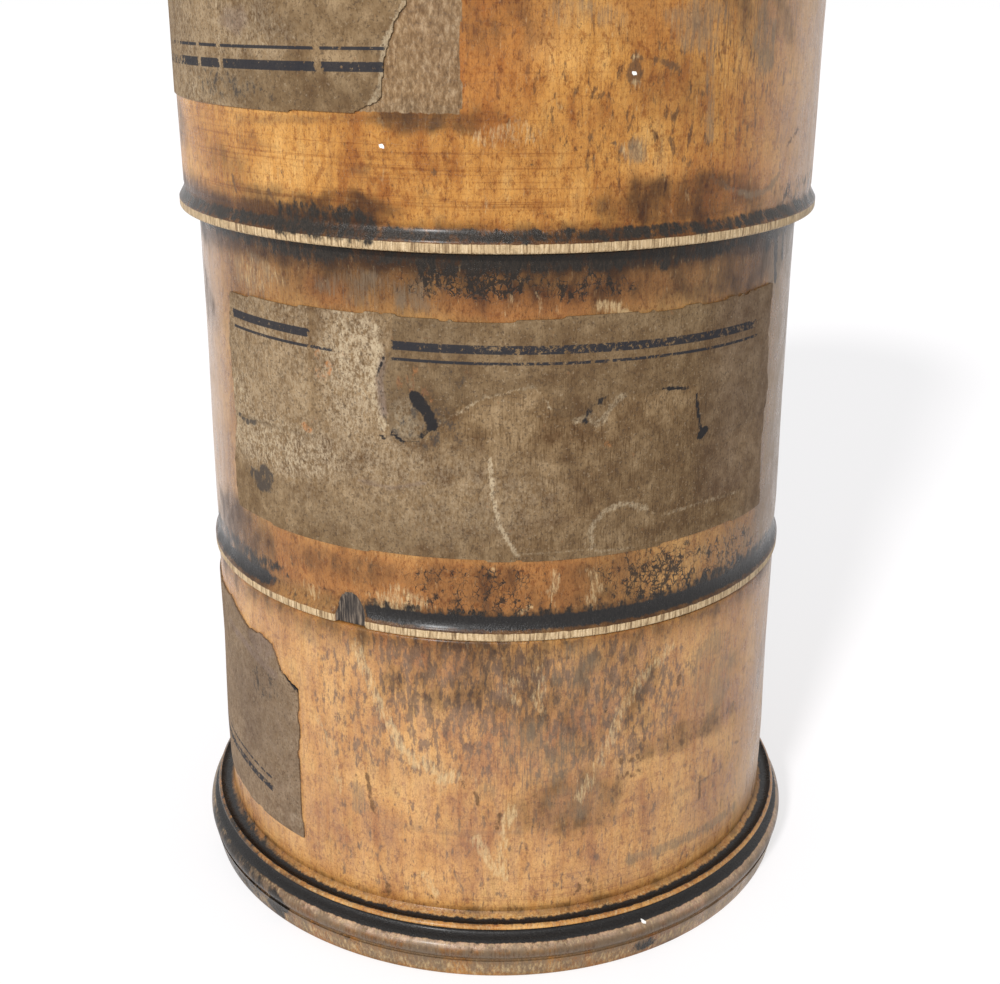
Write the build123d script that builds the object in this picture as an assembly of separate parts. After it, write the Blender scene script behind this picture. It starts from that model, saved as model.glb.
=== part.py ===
from build123d import *
import math
import os

# A turned wooden spice tower: three round boxes, each screwed onto the one below, and a
# screwed lid. Millimetres, z up, origin at the centre of the ring that it stands on.
# The front is -Y, and angles round the tower are degrees from the front to the right.

# Tiers, each measured from seam to seam
tier_height = 43.2
bottom_wall_r = 37.0
middle_wall_r = 36.7
top_wall_r = 38.3
seam_gap = 0.12
shoulder_round = 0.4

# Thin rim under each upper tier and the lid, and the cove that sweeps from it into the wall
rim_height = 1.1
rim_round = 0.3
middle_rim_proud = 0.5
top_rim_proud = 0.35
lid_rim_proud = 0.35
cove_height = 1.8
cove_sag = 0.2

# Foot moulding: a flared band, a line, a torus, a small cove, a thin bead and a sunk quirk
foot_proud = 2.8
foot_round = 0.3
band_height = 2.6
band_flare = 0.5
band_line = 0.2
torus_height = 2.3
torus_swell = 0.45
torus_set_back = 0.2
foot_cove_height = 1.15
foot_cove_depth = 0.15
bead_height = 0.8
bead_proud = 2.45
quirk_height = 0.3
quirk_depth = 0.45

# Screw joints, all alike: a rounded right-hand thread on each neck and in each recess
skirt_wall = 2.4
thread_pitch = 3.6
thread_depth = 0.9
thread_sections = 6
thread_clearance = 0.25
thread_height = 6.4
pilot_height = 1.0
pilot_step = 0.15
neck_wall = 2.0
neck_chamfer = 0.4
mouth_height = 0.8
mouth_step = 0.1
relief_height = 1.0
neck_top_clearance = 0.5

# Floors: discs let in from below against a ledge, with a thin line of glue
floor_thickness = 3.0
floor_ledge = 1.2
floor_chamfer = 0.3
glue_gap = 0.08
foot_recess = 1.3

# Lid and knob
lid_wall_height = 7.6
lid_ovolo_width = 2.5
lid_ovolo_height = 2.1
lid_fillet_width = 0.6
lid_fillet_height = 0.4
lid_crown = 1.7
knob_spigot_r = 3.2
knob_collar_r = 5.2
knob_collar_height = 0.8
knob_waist_r = 3.5
knob_waist_height = 1.6
knob_r = 6.0
knob_height = 4.2

# Paper labels: one printed size, each torn in its own way
label_width = 75.0
label_height = 27.3
paper = 0.2
paste_gap = 0.03
bottom_label_angle = -97.0
bottom_label_drop = 4.2
middle_label_angle = 1.0
middle_label_drop = 6.5
top_label_angle = -61.7
top_label_drop = 3.0

# Worked out from the sizes above
foot_r = bottom_wall_r + foot_proud
recess_thread_r = min(bottom_wall_r, middle_wall_r, top_wall_r) - skirt_wall
neck_thread_r = recess_thread_r - thread_clearance
pilot_r = neck_thread_r - thread_depth - pilot_step
bore_r = pilot_r - neck_wall
neck_height = thread_height + pilot_height
recess_height = neck_height + neck_top_clearance
floor_r = bore_r + floor_ledge
mouth_r = recess_thread_r + mouth_step
middle_seam = tier_height
top_seam = 2 * tier_height
lid_seam = 3 * tier_height
half_label = label_width / 2
bottom_label_low = middle_seam - bottom_label_drop - label_height
middle_label_low = top_seam - middle_label_drop - label_height
top_label_low = lid_seam - top_label_drop - label_height
overshoot = 1.0


def turned(outline):
    """A solid of revolution from a closed outline of radius and height."""
    return revolve(make_face(Plane.XZ * outline), Axis.Z)


def bar(radius, low, high):
    """A plain round bar standing on z = low."""
    return Pos(0, 0, low) * Cylinder(radius, high - low, align=(Align.CENTER, Align.CENTER, Align.MIN))


def thread_section(radius, turn, height):
    """One level section of a thread: a circle of four arcs, set off centre towards the turn."""
    off_centre = thread_depth / 2
    centre = (
        off_centre * math.cos(math.radians(turn)),
        off_centre * math.sin(math.radians(turn)),
        height,
    )
    arcs = []
    for quarter in range(4):
        start = 90 * quarter
        arcs.append(Edge.make_circle(radius, Plane(origin=centre), start, start + 90))
    return Wire(arcs)


def thread_bar(outer_r, low, high, seam):
    """A round bar whose off-centre section goes once round every pitch, in step with its seam.

    Seen from the side its edge is a smooth wave, as a hand-chased thread wears to.
    """
    count = math.ceil((high - low) / thread_pitch * thread_sections)
    sections = []
    for step in range(count + 1):
        height = low + (high - low) * step / count
        turn = 360 * (height - seam) / thread_pitch
        sections.append(thread_section(outer_r - thread_depth / 2, turn, height))
    return Solid.make_loft(sections)


def rim_outline(wall_r, proud, low):
    """The rim's underside edge, its round nose and the cove above it, up to the wall."""
    rim_r = wall_r + proud
    rim_top = low + rim_height
    cove_top = rim_top + cove_height
    nose = ThreePointArc(
        (rim_r - rim_round, low),
        (rim_r - rim_round * (1 - math.sin(math.pi / 4)), low + rim_round * (1 - math.sin(math.pi / 4))),
        (rim_r, low + rim_round),
    )
    face = Line((rim_r, low + rim_round), (rim_r, rim_top))
    cove_middle = ((rim_r + wall_r) / 2 - cove_sag, rim_top + cove_height / 2)
    cove = ThreePointArc((rim_r, rim_top), cove_middle, (wall_r, cove_top))
    return nose + face + cove


def foot_outline():
    """The foot moulding from its standing ring up to the bottom tier's wall."""
    band_top = band_height
    torus_low = band_top + band_line
    torus_top = torus_low + torus_height
    cove_top = torus_top + foot_cove_height
    bead_top = cove_top + bead_height
    wall_low = bead_top + quirk_height
    band_r = foot_r + band_flare
    line_r = band_r - band_line
    torus_top_r = line_r - torus_set_back
    bead_r = bottom_wall_r + bead_proud
    bead_root_r = bead_r - bead_height / 2
    soft = foot_round * (1 - math.sin(math.pi / 4))
    nose = ThreePointArc((foot_r - foot_round, 0), (foot_r - soft, soft), (foot_r, foot_round))
    band = Polyline((foot_r, foot_round), (band_r, band_top), (line_r, band_top), (line_r, torus_low))
    torus_middle = (line_r + torus_swell, (torus_low + torus_top) / 2)
    torus = ThreePointArc((line_r, torus_low), torus_middle, (torus_top_r, torus_top))
    cove_middle = (bead_root_r - foot_cove_depth, (torus_top + cove_top) / 2)
    cove = ThreePointArc((torus_top_r, torus_top), cove_middle, (bead_root_r, cove_top))
    bead = ThreePointArc((bead_root_r, cove_top), (bead_r, (cove_top + bead_top) / 2), (bead_root_r, bead_top))
    quirk_middle = ((bead_root_r + bottom_wall_r) / 2, bead_top - quirk_depth)
    quirk = ThreePointArc((bead_root_r, bead_top), quirk_middle, (bottom_wall_r, wall_low))
    return nose + band + torus + cove + bead + quirk


def tier(wall_r, low_outline, low, seam):
    """A tier's tube with its threaded neck above the seam, still without its floor's seat."""
    top = seam + neck_height
    shoulder_soft = shoulder_round * (1 - math.sin(math.pi / 4))
    foot_start = low_outline @ 0
    wall_start = low_outline @ 1
    shoulder = ThreePointArc(
        (wall_r, seam - shoulder_round),
        (wall_r - shoulder_soft, seam - shoulder_soft),
        (wall_r - shoulder_round, seam),
    )
    underside = Line((bore_r, low), (foot_start.X, foot_start.Y))
    wall = Line((wall_start.X, wall_start.Y), (wall_r, seam - shoulder_round))
    neck = Polyline(
        (wall_r - shoulder_round, seam),
        (pilot_r, seam),
        (pilot_r, top - neck_chamfer),
        (pilot_r - neck_chamfer, top),
        (bore_r, top),
        (bore_r, low),
    )
    tube = turned(underside + low_outline + wall + shoulder + neck)
    thread = thread_bar(neck_thread_r, seam - overshoot, seam + thread_height, seam)
    thread_ring = thread - bar(bore_r, seam - 2 * overshoot, top + overshoot)
    return tube + thread_ring


def recess(low, seam):
    """The space that the neck below screws into: mouth, thread and relief."""
    ceiling = seam + recess_height
    mouth = bar(mouth_r, seam - overshoot, low + mouth_height)
    thread_low = low + mouth_height / 2
    thread_high = ceiling - relief_height / 2
    thread = thread_bar(recess_thread_r, thread_low, thread_high, seam)
    relief = bar(mouth_r, ceiling - relief_height, ceiling)
    return [mouth, thread, relief]


def floor_seat(low, under_floor):
    """The stepped hole for a let-in floor, open downwards."""
    return bar(floor_r + glue_gap, low, under_floor + floor_thickness + glue_gap)


def floor_disc(under_floor):
    """A let-in floor with its edges broken."""
    top = under_floor + floor_thickness
    outline = Polyline(
        (0, under_floor),
        (floor_r - floor_chamfer, under_floor),
        (floor_r, under_floor + floor_chamfer),
        (floor_r, top - floor_chamfer),
        (floor_r - floor_chamfer, top),
        (0, top),
        close=True,
    )
    return turned(outline)


def upper_tier(wall_r, proud, low_seam, high_seam):
    """A tier with a rim below, a recess for the neck under it and its own neck above."""
    low = low_seam + seam_gap
    under_floor = low_seam + recess_height
    body = tier(wall_r, rim_outline(wall_r, proud, low), low, high_seam)
    for space in recess(low, low_seam):
        body = body - space
    return body - floor_seat(under_floor - overshoot, under_floor)


def label(wall_r, angle, low, torn_outline):
    """Paper curved round a wall: points are millimetres along it from its middle and up."""
    inner_r = wall_r + paste_gap
    outer_r = inner_r + paper
    points = []
    for along, up in torn_outline:
        points.append((outer_r * math.sin(along / outer_r), low + up))
    sheet = extrude(make_face(Plane.XZ * Polyline(*points, close=True)), outer_r + overshoot)
    sleeve = bar(outer_r, low - overshoot, low + label_height + overshoot)
    sleeve = sleeve - bar(inner_r, low - 2 * overshoot, low + label_height + 2 * overshoot)
    return Rot(0, 0, angle) * (sleeve & sheet)


def bottom_label():
    """The upper right corner is torn off on a slant."""
    outline = [
        (-half_label, 0.4),
        (-half_label + 21, 0),
        (4, 0.3),
        (half_label, 0),
        (half_label - 0.4, 11.4),
        (half_label, 20.8),
        (half_label - 3.4, 22.2),
        (half_label - 6.8, 23.7),
        (half_label - 12.4, label_height - 0.4),
        (half_label - 18.6, label_height),
        (-6, label_height - 0.3),
        (-half_label + 0.5, label_height),
        (-half_label - 0.3, 15.5),
    ]
    return label(bottom_wall_r, bottom_label_angle, bottom_label_low, outline)


def middle_label():
    """Nearly whole, with ragged edges."""
    outline = [
        (-half_label + 0.5, 0.4),
        (-24, 0),
        (-9, 0.35),
        (8, 0),
        (24, 0.3),
        (half_label, 0),
        (half_label - 0.5, 8),
        (half_label, 15),
        (half_label - 0.8, 21.5),
        (half_label - 0.4, label_height - 0.1),
        (24, label_height - 0.3),
        (9.8, label_height),
        (-2, label_height - 0.6),
        (-13, label_height - 0.1),
        (-22, label_height - 0.4),
        (-half_label + 1.2, label_height - 0.8),
        (-half_label + 0.3, 20),
        (-half_label + 1, 12),
        (-half_label, 6),
    ]
    return label(middle_wall_r, middle_label_angle, middle_label_low, outline)


def top_label():
    """The right end is torn away, down to the printed border's end."""
    outline = [
        (-half_label, 0.3),
        (-12, 0),
        (half_label - 10.6, 0.2),
        (half_label - 7.4, 1.8),
        (half_label - 7, 5.3),
        (half_label - 5.7, 9.1),
        (half_label - 4.5, 10.9),
        (half_label - 6, 16),
        (half_label - 4, 22),
        (half_label - 6.5, label_height - 0.4),
        (10, label_height),
        (-half_label + 0.6, label_height - 0.3),
        (-half_label - 0.3, 14),
    ]
    return label(top_wall_r, top_label_angle, top_label_low, outline)


def bottom_tier():
    body = tier(bottom_wall_r, foot_outline(), 0, middle_seam)
    return body - floor_seat(-overshoot, foot_recess)


def lid():
    """A low crowned lid with the tiers' rim, an ovolo edge and a hole for the knob's spigot."""
    low = lid_seam + seam_gap
    wall_top = low + lid_wall_height
    ovolo_top = wall_top + lid_ovolo_height
    fillet_top = ovolo_top + lid_fillet_height
    crown_top = fillet_top + lid_crown
    ovolo_r = top_wall_r - lid_ovolo_width
    crown_r = ovolo_r - lid_fillet_width
    rim = rim_outline(top_wall_r, lid_rim_proud, low)
    rim_start = rim @ 0
    wall_start = rim @ 1
    quarter = math.sin(math.pi / 4)
    ovolo_middle = (
        ovolo_r + lid_ovolo_width * quarter,
        wall_top + lid_ovolo_height * quarter,
    )
    underside = Line((0, low), (rim_start.X, rim_start.Y))
    wall = Line((wall_start.X, wall_start.Y), (top_wall_r, wall_top))
    ovolo = ThreePointArc((top_wall_r, wall_top), ovolo_middle, (ovolo_r, ovolo_top))
    fillet = Polyline((ovolo_r, ovolo_top), (crown_r, ovolo_top), (crown_r, fillet_top))
    crown_middle = (crown_r / 2, fillet_top + lid_crown * 3 / 4)
    crown = ThreePointArc((crown_r, fillet_top), crown_middle, (0, crown_top))
    axis_line = Line((0, crown_top), (0, low))
    body = turned(underside + rim + wall + ovolo + fillet + crown + axis_line)
    for space in recess(low, lid_seam):
        body = body - space
    return body - bar(knob_spigot_r + glue_gap, low, crown_top + overshoot)


def lid_knob():
    """A turned knob: spigot, collar, waist and a flattened ball."""
    crown_top = lid_seam + seam_gap + lid_wall_height + lid_ovolo_height + lid_fillet_height + lid_crown
    spigot_low = lid_seam + recess_height + glue_gap
    collar_low = crown_top + glue_gap
    collar_top = collar_low + knob_collar_height
    waist_top = collar_top + knob_waist_height
    ball_middle = waist_top + knob_height / 2
    ball_top = waist_top + knob_height
    waist_middle = (knob_waist_r, (collar_top + waist_top) / 2)
    shank = Polyline(
        (0, spigot_low),
        (knob_spigot_r, spigot_low),
        (knob_spigot_r, collar_low),
        (knob_collar_r, collar_low),
        (knob_collar_r, collar_top),
    )
    waist_end = ((knob_waist_r + knob_r) / 2, waist_top)
    waist = ThreePointArc((knob_collar_r, collar_top), waist_middle, waist_end)
    under_ball = Spline(waist_end, (knob_r, ball_middle), tangents=((1, 0), (0, 1)))
    over_ball = Spline((knob_r, ball_middle), (0, ball_top), tangents=((0, 1), (-1, 0)))
    axis_line = Line((0, ball_top), (0, spigot_low))
    return turned(shank + waist + under_ball + over_ball + axis_line)


pieces = {
    "bottom_tier": bottom_tier(),
    "bottom_floor": floor_disc(foot_recess),
    "bottom_label": bottom_label(),
    "middle_tier": upper_tier(middle_wall_r, middle_rim_proud, middle_seam, top_seam),
    "middle_floor": floor_disc(middle_seam + recess_height),
    "middle_label": middle_label(),
    "top_tier": upper_tier(top_wall_r, top_rim_proud, top_seam, lid_seam),
    "top_floor": floor_disc(top_seam + recess_height),
    "top_label": top_label(),
    "lid": lid(),
    "lid_knob": lid_knob(),
}

os.makedirs("parts", exist_ok=True)
for name, solid in pieces.items():
    export_step(solid, f"parts/{name}.step")
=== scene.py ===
import bpy
import math
import numpy as np
from mathutils import Matrix


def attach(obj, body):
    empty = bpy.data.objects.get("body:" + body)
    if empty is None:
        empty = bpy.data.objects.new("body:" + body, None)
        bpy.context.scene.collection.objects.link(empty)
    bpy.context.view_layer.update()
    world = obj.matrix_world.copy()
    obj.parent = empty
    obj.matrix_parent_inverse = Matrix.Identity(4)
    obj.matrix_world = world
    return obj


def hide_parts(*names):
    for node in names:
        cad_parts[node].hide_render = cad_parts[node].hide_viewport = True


# A worn spice tower: three turned boxes that screw together, a lid, and torn paper labels.
# Sizes in this file are millimetres and degrees from the front unless they say otherwise.
MM = 0.001
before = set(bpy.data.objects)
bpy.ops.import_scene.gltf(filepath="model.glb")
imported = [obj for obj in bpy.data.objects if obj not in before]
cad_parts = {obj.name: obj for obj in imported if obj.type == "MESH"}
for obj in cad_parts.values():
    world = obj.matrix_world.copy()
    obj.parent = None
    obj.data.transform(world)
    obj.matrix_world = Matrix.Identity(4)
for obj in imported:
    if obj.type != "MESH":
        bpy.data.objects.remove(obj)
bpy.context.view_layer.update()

TIER = 43.2
SEAMS = (0.0, TIER, 2 * TIER, 3 * TIER)
BOTTOM_R = 37.0
MIDDLE_R = 36.7
TOP_R = 38.3
FOOT_R = 39.8
PITCH = 3.6
THREAD = 0.9
NECK_R = 33.6
RECESS_R = 33.85
PILOT_R = 33.0
BORE_R = 31.0
MOUTH_R = 34.4
SEAT_R = 32.28
BOTTOM_SHAPE = (0.4, (7, 8, 17, 24, 30, 43), (-0.06, 0.1, 0.18, 0.05, -0.08, -0.05))
MIDDLE_SHAPE = (1.7, (45, 50, 58, 66, 74, 84, 87), (0.1, 0.14, 0.02, -0.06, -0.16, -0.16, 0))
TOP_SHAPE = (3.1, (88, 89, 98, 112, 128), (0, -0.25, -0.22, -0.2, -0.1))


# ---- camera, floor and light

def put_camera():
    turned = Matrix.Rotation(math.radians(-0.15), 4, "Z")
    tipped = Matrix.Rotation(math.radians(90 - 20.64), 4, "X")
    rolled = Matrix.Rotation(0.0045, 4, "Z")
    bpy.ops.object.camera_add()
    camera = bpy.context.object
    camera.name = "camera"
    camera.matrix_world = Matrix.Translation((0, -176.0 * MM, 113.3 * MM)) @ turned @ tipped @ rolled
    camera.data.sensor_width = 36.0
    camera.data.lens = 50.4
    camera.data.clip_start = 0.01
    camera.data.clip_end = 50
    bpy.context.scene.camera = camera


def seen_directly(nodes, links):
    """1 for rays from the camera, a mirror or clear glass, and 0 for plain light."""
    path = nodes.new("ShaderNodeLightPath")
    glossy = nodes.new("ShaderNodeMath")
    glossy.operation = "MAXIMUM"
    links.new(path.outputs["Is Camera Ray"], glossy.inputs[0])
    links.new(path.outputs["Is Glossy Ray"], glossy.inputs[1])
    both = nodes.new("ShaderNodeMath")
    both.operation = "MAXIMUM"
    links.new(glossy.outputs[0], both.inputs[0])
    links.new(path.outputs["Is Transmission Ray"], both.inputs[1])
    return both.outputs[0]


def light_the_room():
    world = bpy.data.worlds.new("studio")
    bpy.context.scene.world = world
    world.use_nodes = True
    nodes, links = world.node_tree.nodes, world.node_tree.links
    nodes.clear()
    soft = nodes.new("ShaderNodeBackground")
    soft.inputs["Color"].default_value = (0.97, 0.985, 1.0, 1)
    soft.inputs["Strength"].default_value = 0.62
    white = nodes.new("ShaderNodeBackground")
    white.inputs["Color"].default_value = (1, 1, 1, 1)
    white.inputs["Strength"].default_value = 1.0
    mix = nodes.new("ShaderNodeMixShader")
    links.new(seen_directly(nodes, links), mix.inputs[0])
    links.new(soft.outputs[0], mix.inputs[1])
    links.new(white.outputs[0], mix.inputs[2])
    links.new(mix.outputs[0], nodes.new("ShaderNodeOutputWorld").inputs["Surface"])


def hang_lamp(name, around, above, wide, strength):
    """A far, soft light that comes from around and above in degrees and looks wide degrees across."""
    bpy.ops.object.light_add(type="SUN")
    lamp = bpy.context.object
    lamp.name = name
    lamp.data.angle = math.radians(wide)
    lamp.data.energy = strength
    out = Matrix.Rotation(math.radians(around), 4, "Z") @ Matrix.Rotation(math.radians(90 - above), 4, "X")
    lamp.matrix_world = out @ Matrix.Translation((0, 0, 1))


def lay_floor():
    bpy.ops.mesh.primitive_plane_add(size=8)
    floor = bpy.context.object
    floor.name = "floor"
    finish = bpy.data.materials.new("pale_floor")
    finish.use_nodes = True
    nodes, links = finish.node_tree.nodes, finish.node_tree.links
    nodes.clear()
    plain = nodes.new("ShaderNodeBsdfDiffuse")
    plain.inputs["Color"].default_value = (0.8, 0.8, 0.8, 1)
    shade = nodes.new("ShaderNodeBsdfDiffuse")
    shade.inputs["Color"].default_value = (0.40, 0.385, 0.392, 1)
    glow = nodes.new("ShaderNodeEmission")
    glow.inputs["Strength"].default_value = 0.645
    lit = nodes.new("ShaderNodeAddShader")
    mix = nodes.new("ShaderNodeMixShader")
    links.new(shade.outputs[0], lit.inputs[0])
    links.new(glow.outputs[0], lit.inputs[1])
    links.new(seen_directly(nodes, links), mix.inputs[0])
    links.new(plain.outputs[0], mix.inputs[1])
    links.new(lit.outputs[0], mix.inputs[2])
    links.new(mix.outputs[0], nodes.new("ShaderNodeOutputMaterial").inputs["Surface"])
    floor.data.materials.append(finish)


# ---- turning: an outline of radius and height is drawn point by point and spun round the axis

pen = [0.0, 0.0]


def start_outline(name, radius, height):
    bpy.ops.object.select_all(action="DESELECT")
    bpy.ops.mesh.primitive_plane_add(size=MM)
    piece = bpy.context.object
    piece.name = name
    piece.data.name = name
    bpy.ops.object.mode_set(mode="EDIT")
    bpy.ops.mesh.select_all(action="SELECT")
    bpy.ops.mesh.merge(type="CENTER")
    bpy.ops.transform.translate(value=(radius * MM, 0, height * MM))
    pen[:] = [radius, height]
    return piece


def line_to(radius, height, steps=1):
    step = ((radius - pen[0]) / steps * MM, 0, (height - pen[1]) / steps * MM)
    for _ in range(steps):
        bpy.ops.mesh.extrude_vertices_move(TRANSFORM_OT_translate={"value": step})
    pen[:] = [radius, height]


def curve_to(middle, end, steps):
    """A bow from the pen through the middle point to the end."""
    first = tuple(pen)
    pull = [2 * m - (a + b) / 2 for m, a, b in zip(middle, first, end)]
    for count in range(1, steps + 1):
        t = count / steps
        line_to(*((1 - t) ** 2 * a + 2 * t * (1 - t) * p + t * t * b for a, p, b in zip(first, pull, end)))


def spin_round(piece, front_steps, back_steps):
    """The front half gets finer steps than the back, and the two are joined into one skin."""
    bpy.ops.mesh.select_all(action="SELECT")
    bpy.ops.mesh.remove_doubles(threshold=0.001 * MM)
    bpy.ops.object.mode_set(mode="OBJECT")
    bpy.ops.object.duplicate()
    back = bpy.context.object
    for half, angle, steps in ((piece, -math.pi, front_steps), (back, math.pi, back_steps)):
        bpy.context.view_layer.objects.active = half
        turning = half.modifiers.new("turning", "SCREW")
        turning.angle = angle
        turning.steps = steps
        turning.render_steps = steps
        turning.use_merge_vertices = True
        turning.merge_threshold = 0.001 * MM
        bpy.ops.object.modifier_apply(modifier=turning.name)
    piece.select_set(True)
    bpy.context.view_layer.objects.active = piece
    bpy.ops.object.join()
    bpy.ops.object.mode_set(mode="EDIT")
    bpy.ops.mesh.select_all(action="SELECT")
    bpy.ops.mesh.remove_doubles(threshold=0.002 * MM)
    bpy.ops.mesh.normals_make_consistent(inside=False)
    bpy.ops.object.mode_set(mode="OBJECT")
    bpy.ops.object.shade_smooth_by_angle(angle=math.radians(38))
    return piece


def eighth(radius):
    """How far a quarter round's middle lies in from its corner."""
    return radius * (1 - math.sin(math.pi / 4))


def rim_and_cove(wall_r, proud, low, cove_steps):
    rim_r = wall_r + proud
    line_to(rim_r - 0.3, low, 3)
    curve_to((rim_r - eighth(0.3), low + eighth(0.3)), (rim_r, low + 0.3), 4)
    line_to(rim_r, low + 1.1, 4)
    curve_to(((rim_r + wall_r) / 2 - 0.2, low + 2.0), (wall_r, low + 2.9), cove_steps)


def neck_above(wall_r, seam):
    """Shoulder, screw thread and pilot, and over the top into the bore."""
    curve_to((wall_r - eighth(0.4), seam - eighth(0.4)), (wall_r - 0.4, seam), 3)
    line_to(NECK_R, seam, 2)
    line_to(NECK_R, seam + 6.4, 17)
    line_to(PILOT_R, seam + 6.4)
    line_to(PILOT_R, seam + 7.0)
    line_to(PILOT_R - 0.4, seam + 7.4)
    line_to(BORE_R, seam + 7.4)


def recess_below(seam, low):
    """From the floor's seat down through the thread and the mouth to the rim's underside."""
    ceiling = seam + 7.9
    line_to(BORE_R, ceiling + 3.08, 8)
    line_to(SEAT_R, ceiling + 3.08)
    line_to(SEAT_R, ceiling)
    line_to(MOUTH_R, ceiling)
    line_to(MOUTH_R, ceiling - 1.0)
    line_to(RECESS_R, ceiling - 1.0)
    line_to(RECESS_R, low + 0.8, 16)
    line_to(MOUTH_R, low + 0.8)
    line_to(MOUTH_R, low)


def bend_thread(places, middle_r, low, high, seam):
    """The screw thread is a level round whose middle goes round the axis once every pitch."""
    on = (abs(places.radius - middle_r) < 0.02) & (places.height > low - 0.01) & (places.height < high + 0.01)
    phase = np.radians(places.angle - 90) - 2 * math.pi * (places.height - seam) / PITCH
    places.radius[on] += (THREAD / 2 * np.cos(phase))[on]


class Places:
    """Where each point of a piece is, by angle from the front, height and radius, and the worn marks, stains and
    painted light and shade laid on it.
    """

    def __init__(self, piece, wall_r):
        self.piece = piece
        self.wall_r = wall_r
        self.count = len(piece.data.vertices)
        co = np.empty(self.count * 3)
        piece.data.vertices.foreach_get("co", co)
        x, y, z = co.reshape(-1, 3).T / MM
        self.angle = np.degrees(np.arctan2(x, -y))
        self.height = z.copy()
        self.radius = np.hypot(x, y)
        self.wear_and_painted_light = {"turned_way": self.height - self.radius}

    def move(self):
        a = np.radians(self.angle)
        co = np.column_stack((self.radius * np.sin(a), -self.radius * np.cos(a), self.height)) * MM
        self.piece.data.vertices.foreach_set("co", co.ravel())
        self.piece.data.update()

    def layer(self, name):
        return self.wear_and_painted_light.setdefault(name, np.zeros(self.count))

    def add(self, name, amount):
        np.maximum(self.layer(name), amount, out=self.wear_and_painted_light[name])

    def from_here(self, angle, height):
        along = np.radians((self.angle - angle + 180) % 360 - 180) * self.wall_r
        up = self.height - height
        sway = 0.35 * np.sin(self.height * 1.9 + self.angle * 0.31) + 0.2 * np.sin(self.angle * 0.9 - self.height * 0.7)
        rise = 0.3 * np.sin(self.angle * 0.53 + self.height * 0.8) + 0.15 * np.sin(self.angle * 1.3 + 2)
        return along + sway, up + rise

    def spot(self, name, angle, height, wide, tall, much=1.0, lean=0.0):
        """A soft-edged patch, its width and height in mm, leaning to the right by lean degrees."""
        along, up = self.from_here(angle, height)
        c, s = math.cos(math.radians(lean)), math.sin(math.radians(lean))
        across = (along * c - up * s) / (wide / 2)
        upright = (along * s + up * c) / (tall / 2)
        self.add(name, much * soft(1.4, 0.6, np.hypot(across, upright)))

    def line(self, name, corners, width, much=1.0):
        """A streak through corners of angle and height, its width in mm, exactly where they say."""
        along = np.radians(self.angle) * self.wall_r
        nearest = np.full(self.count, 1e9)
        for (a0, z0), (a1, z1) in zip(corners, corners[1:]):
            x0, x1 = math.radians(a0) * self.wall_r, math.radians(a1) * self.wall_r
            length = (x1 - x0) ** 2 + (z1 - z0) ** 2
            t = np.clip(((along - x0) * (x1 - x0) + (self.height - z0) * (z1 - z0)) / length, 0, 1)
            gap = np.hypot(along - x0 - t * (x1 - x0), self.height - z0 - t * (z1 - z0))
            nearest = np.minimum(nearest, gap)
        self.add(name, much * soft(1.5, 0.5, nearest / (width / 2)))

    def band(self, name, low, high, fade=0.4, much=1.0, left=-180.0, right=180.0, ends=4.0):
        """A band round the wall from low to high, between two angles."""
        up = soft(low - fade, low + fade, self.height) * soft(high + fade, high - fade, self.height)
        side = 1.0
        if left > -180:
            side = soft(left - ends, left + ends, self.angle)
        if right < 180:
            side = side * soft(right + ends, right - ends, self.angle)
        self.add(name, much * up * side)

    def write(self):
        for name, values in self.wear_and_painted_light.items():
            made = self.piece.data.attributes.new(name, "FLOAT", "POINT")
            made.data.foreach_set("value", values.astype(np.float32))


def soft(start, end, value):
    """0 at start and 1 at end, eased."""
    t = np.clip((value - start) / (end - start), 0, 1)
    return t * t * (3 - 2 * t)


def out_of_round(places, seed, heights, swell):
    """Old turned wood is never quite round or straight; swell is in mm at each of the heights."""
    a = np.radians(places.angle)
    z = places.height
    wander = 0.05 * np.sin(2 * a + seed) + 0.03 * np.sin(5 * a + 2 * seed + z * 0.09) + 0.02 * np.sin(z * 0.31 + 3 * a)
    wander += np.interp(z, heights, swell)
    places.radius += np.where(places.radius > MOUTH_R + 1.2, wander - 0.06, 0)


def torn_way(along, seed):
    """How far a torn edge strays, in mm, at places along it."""
    chance = np.random.default_rng(seed)
    way = np.zeros(len(along))
    for step, reach in ((3.1, 0.16), (1.1, 0.12), (0.5, 0.1)):
        way += np.interp(along / step + 400, np.arange(800), chance.uniform(-reach, reach, 800))
    return way


# ---- finishes

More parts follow.
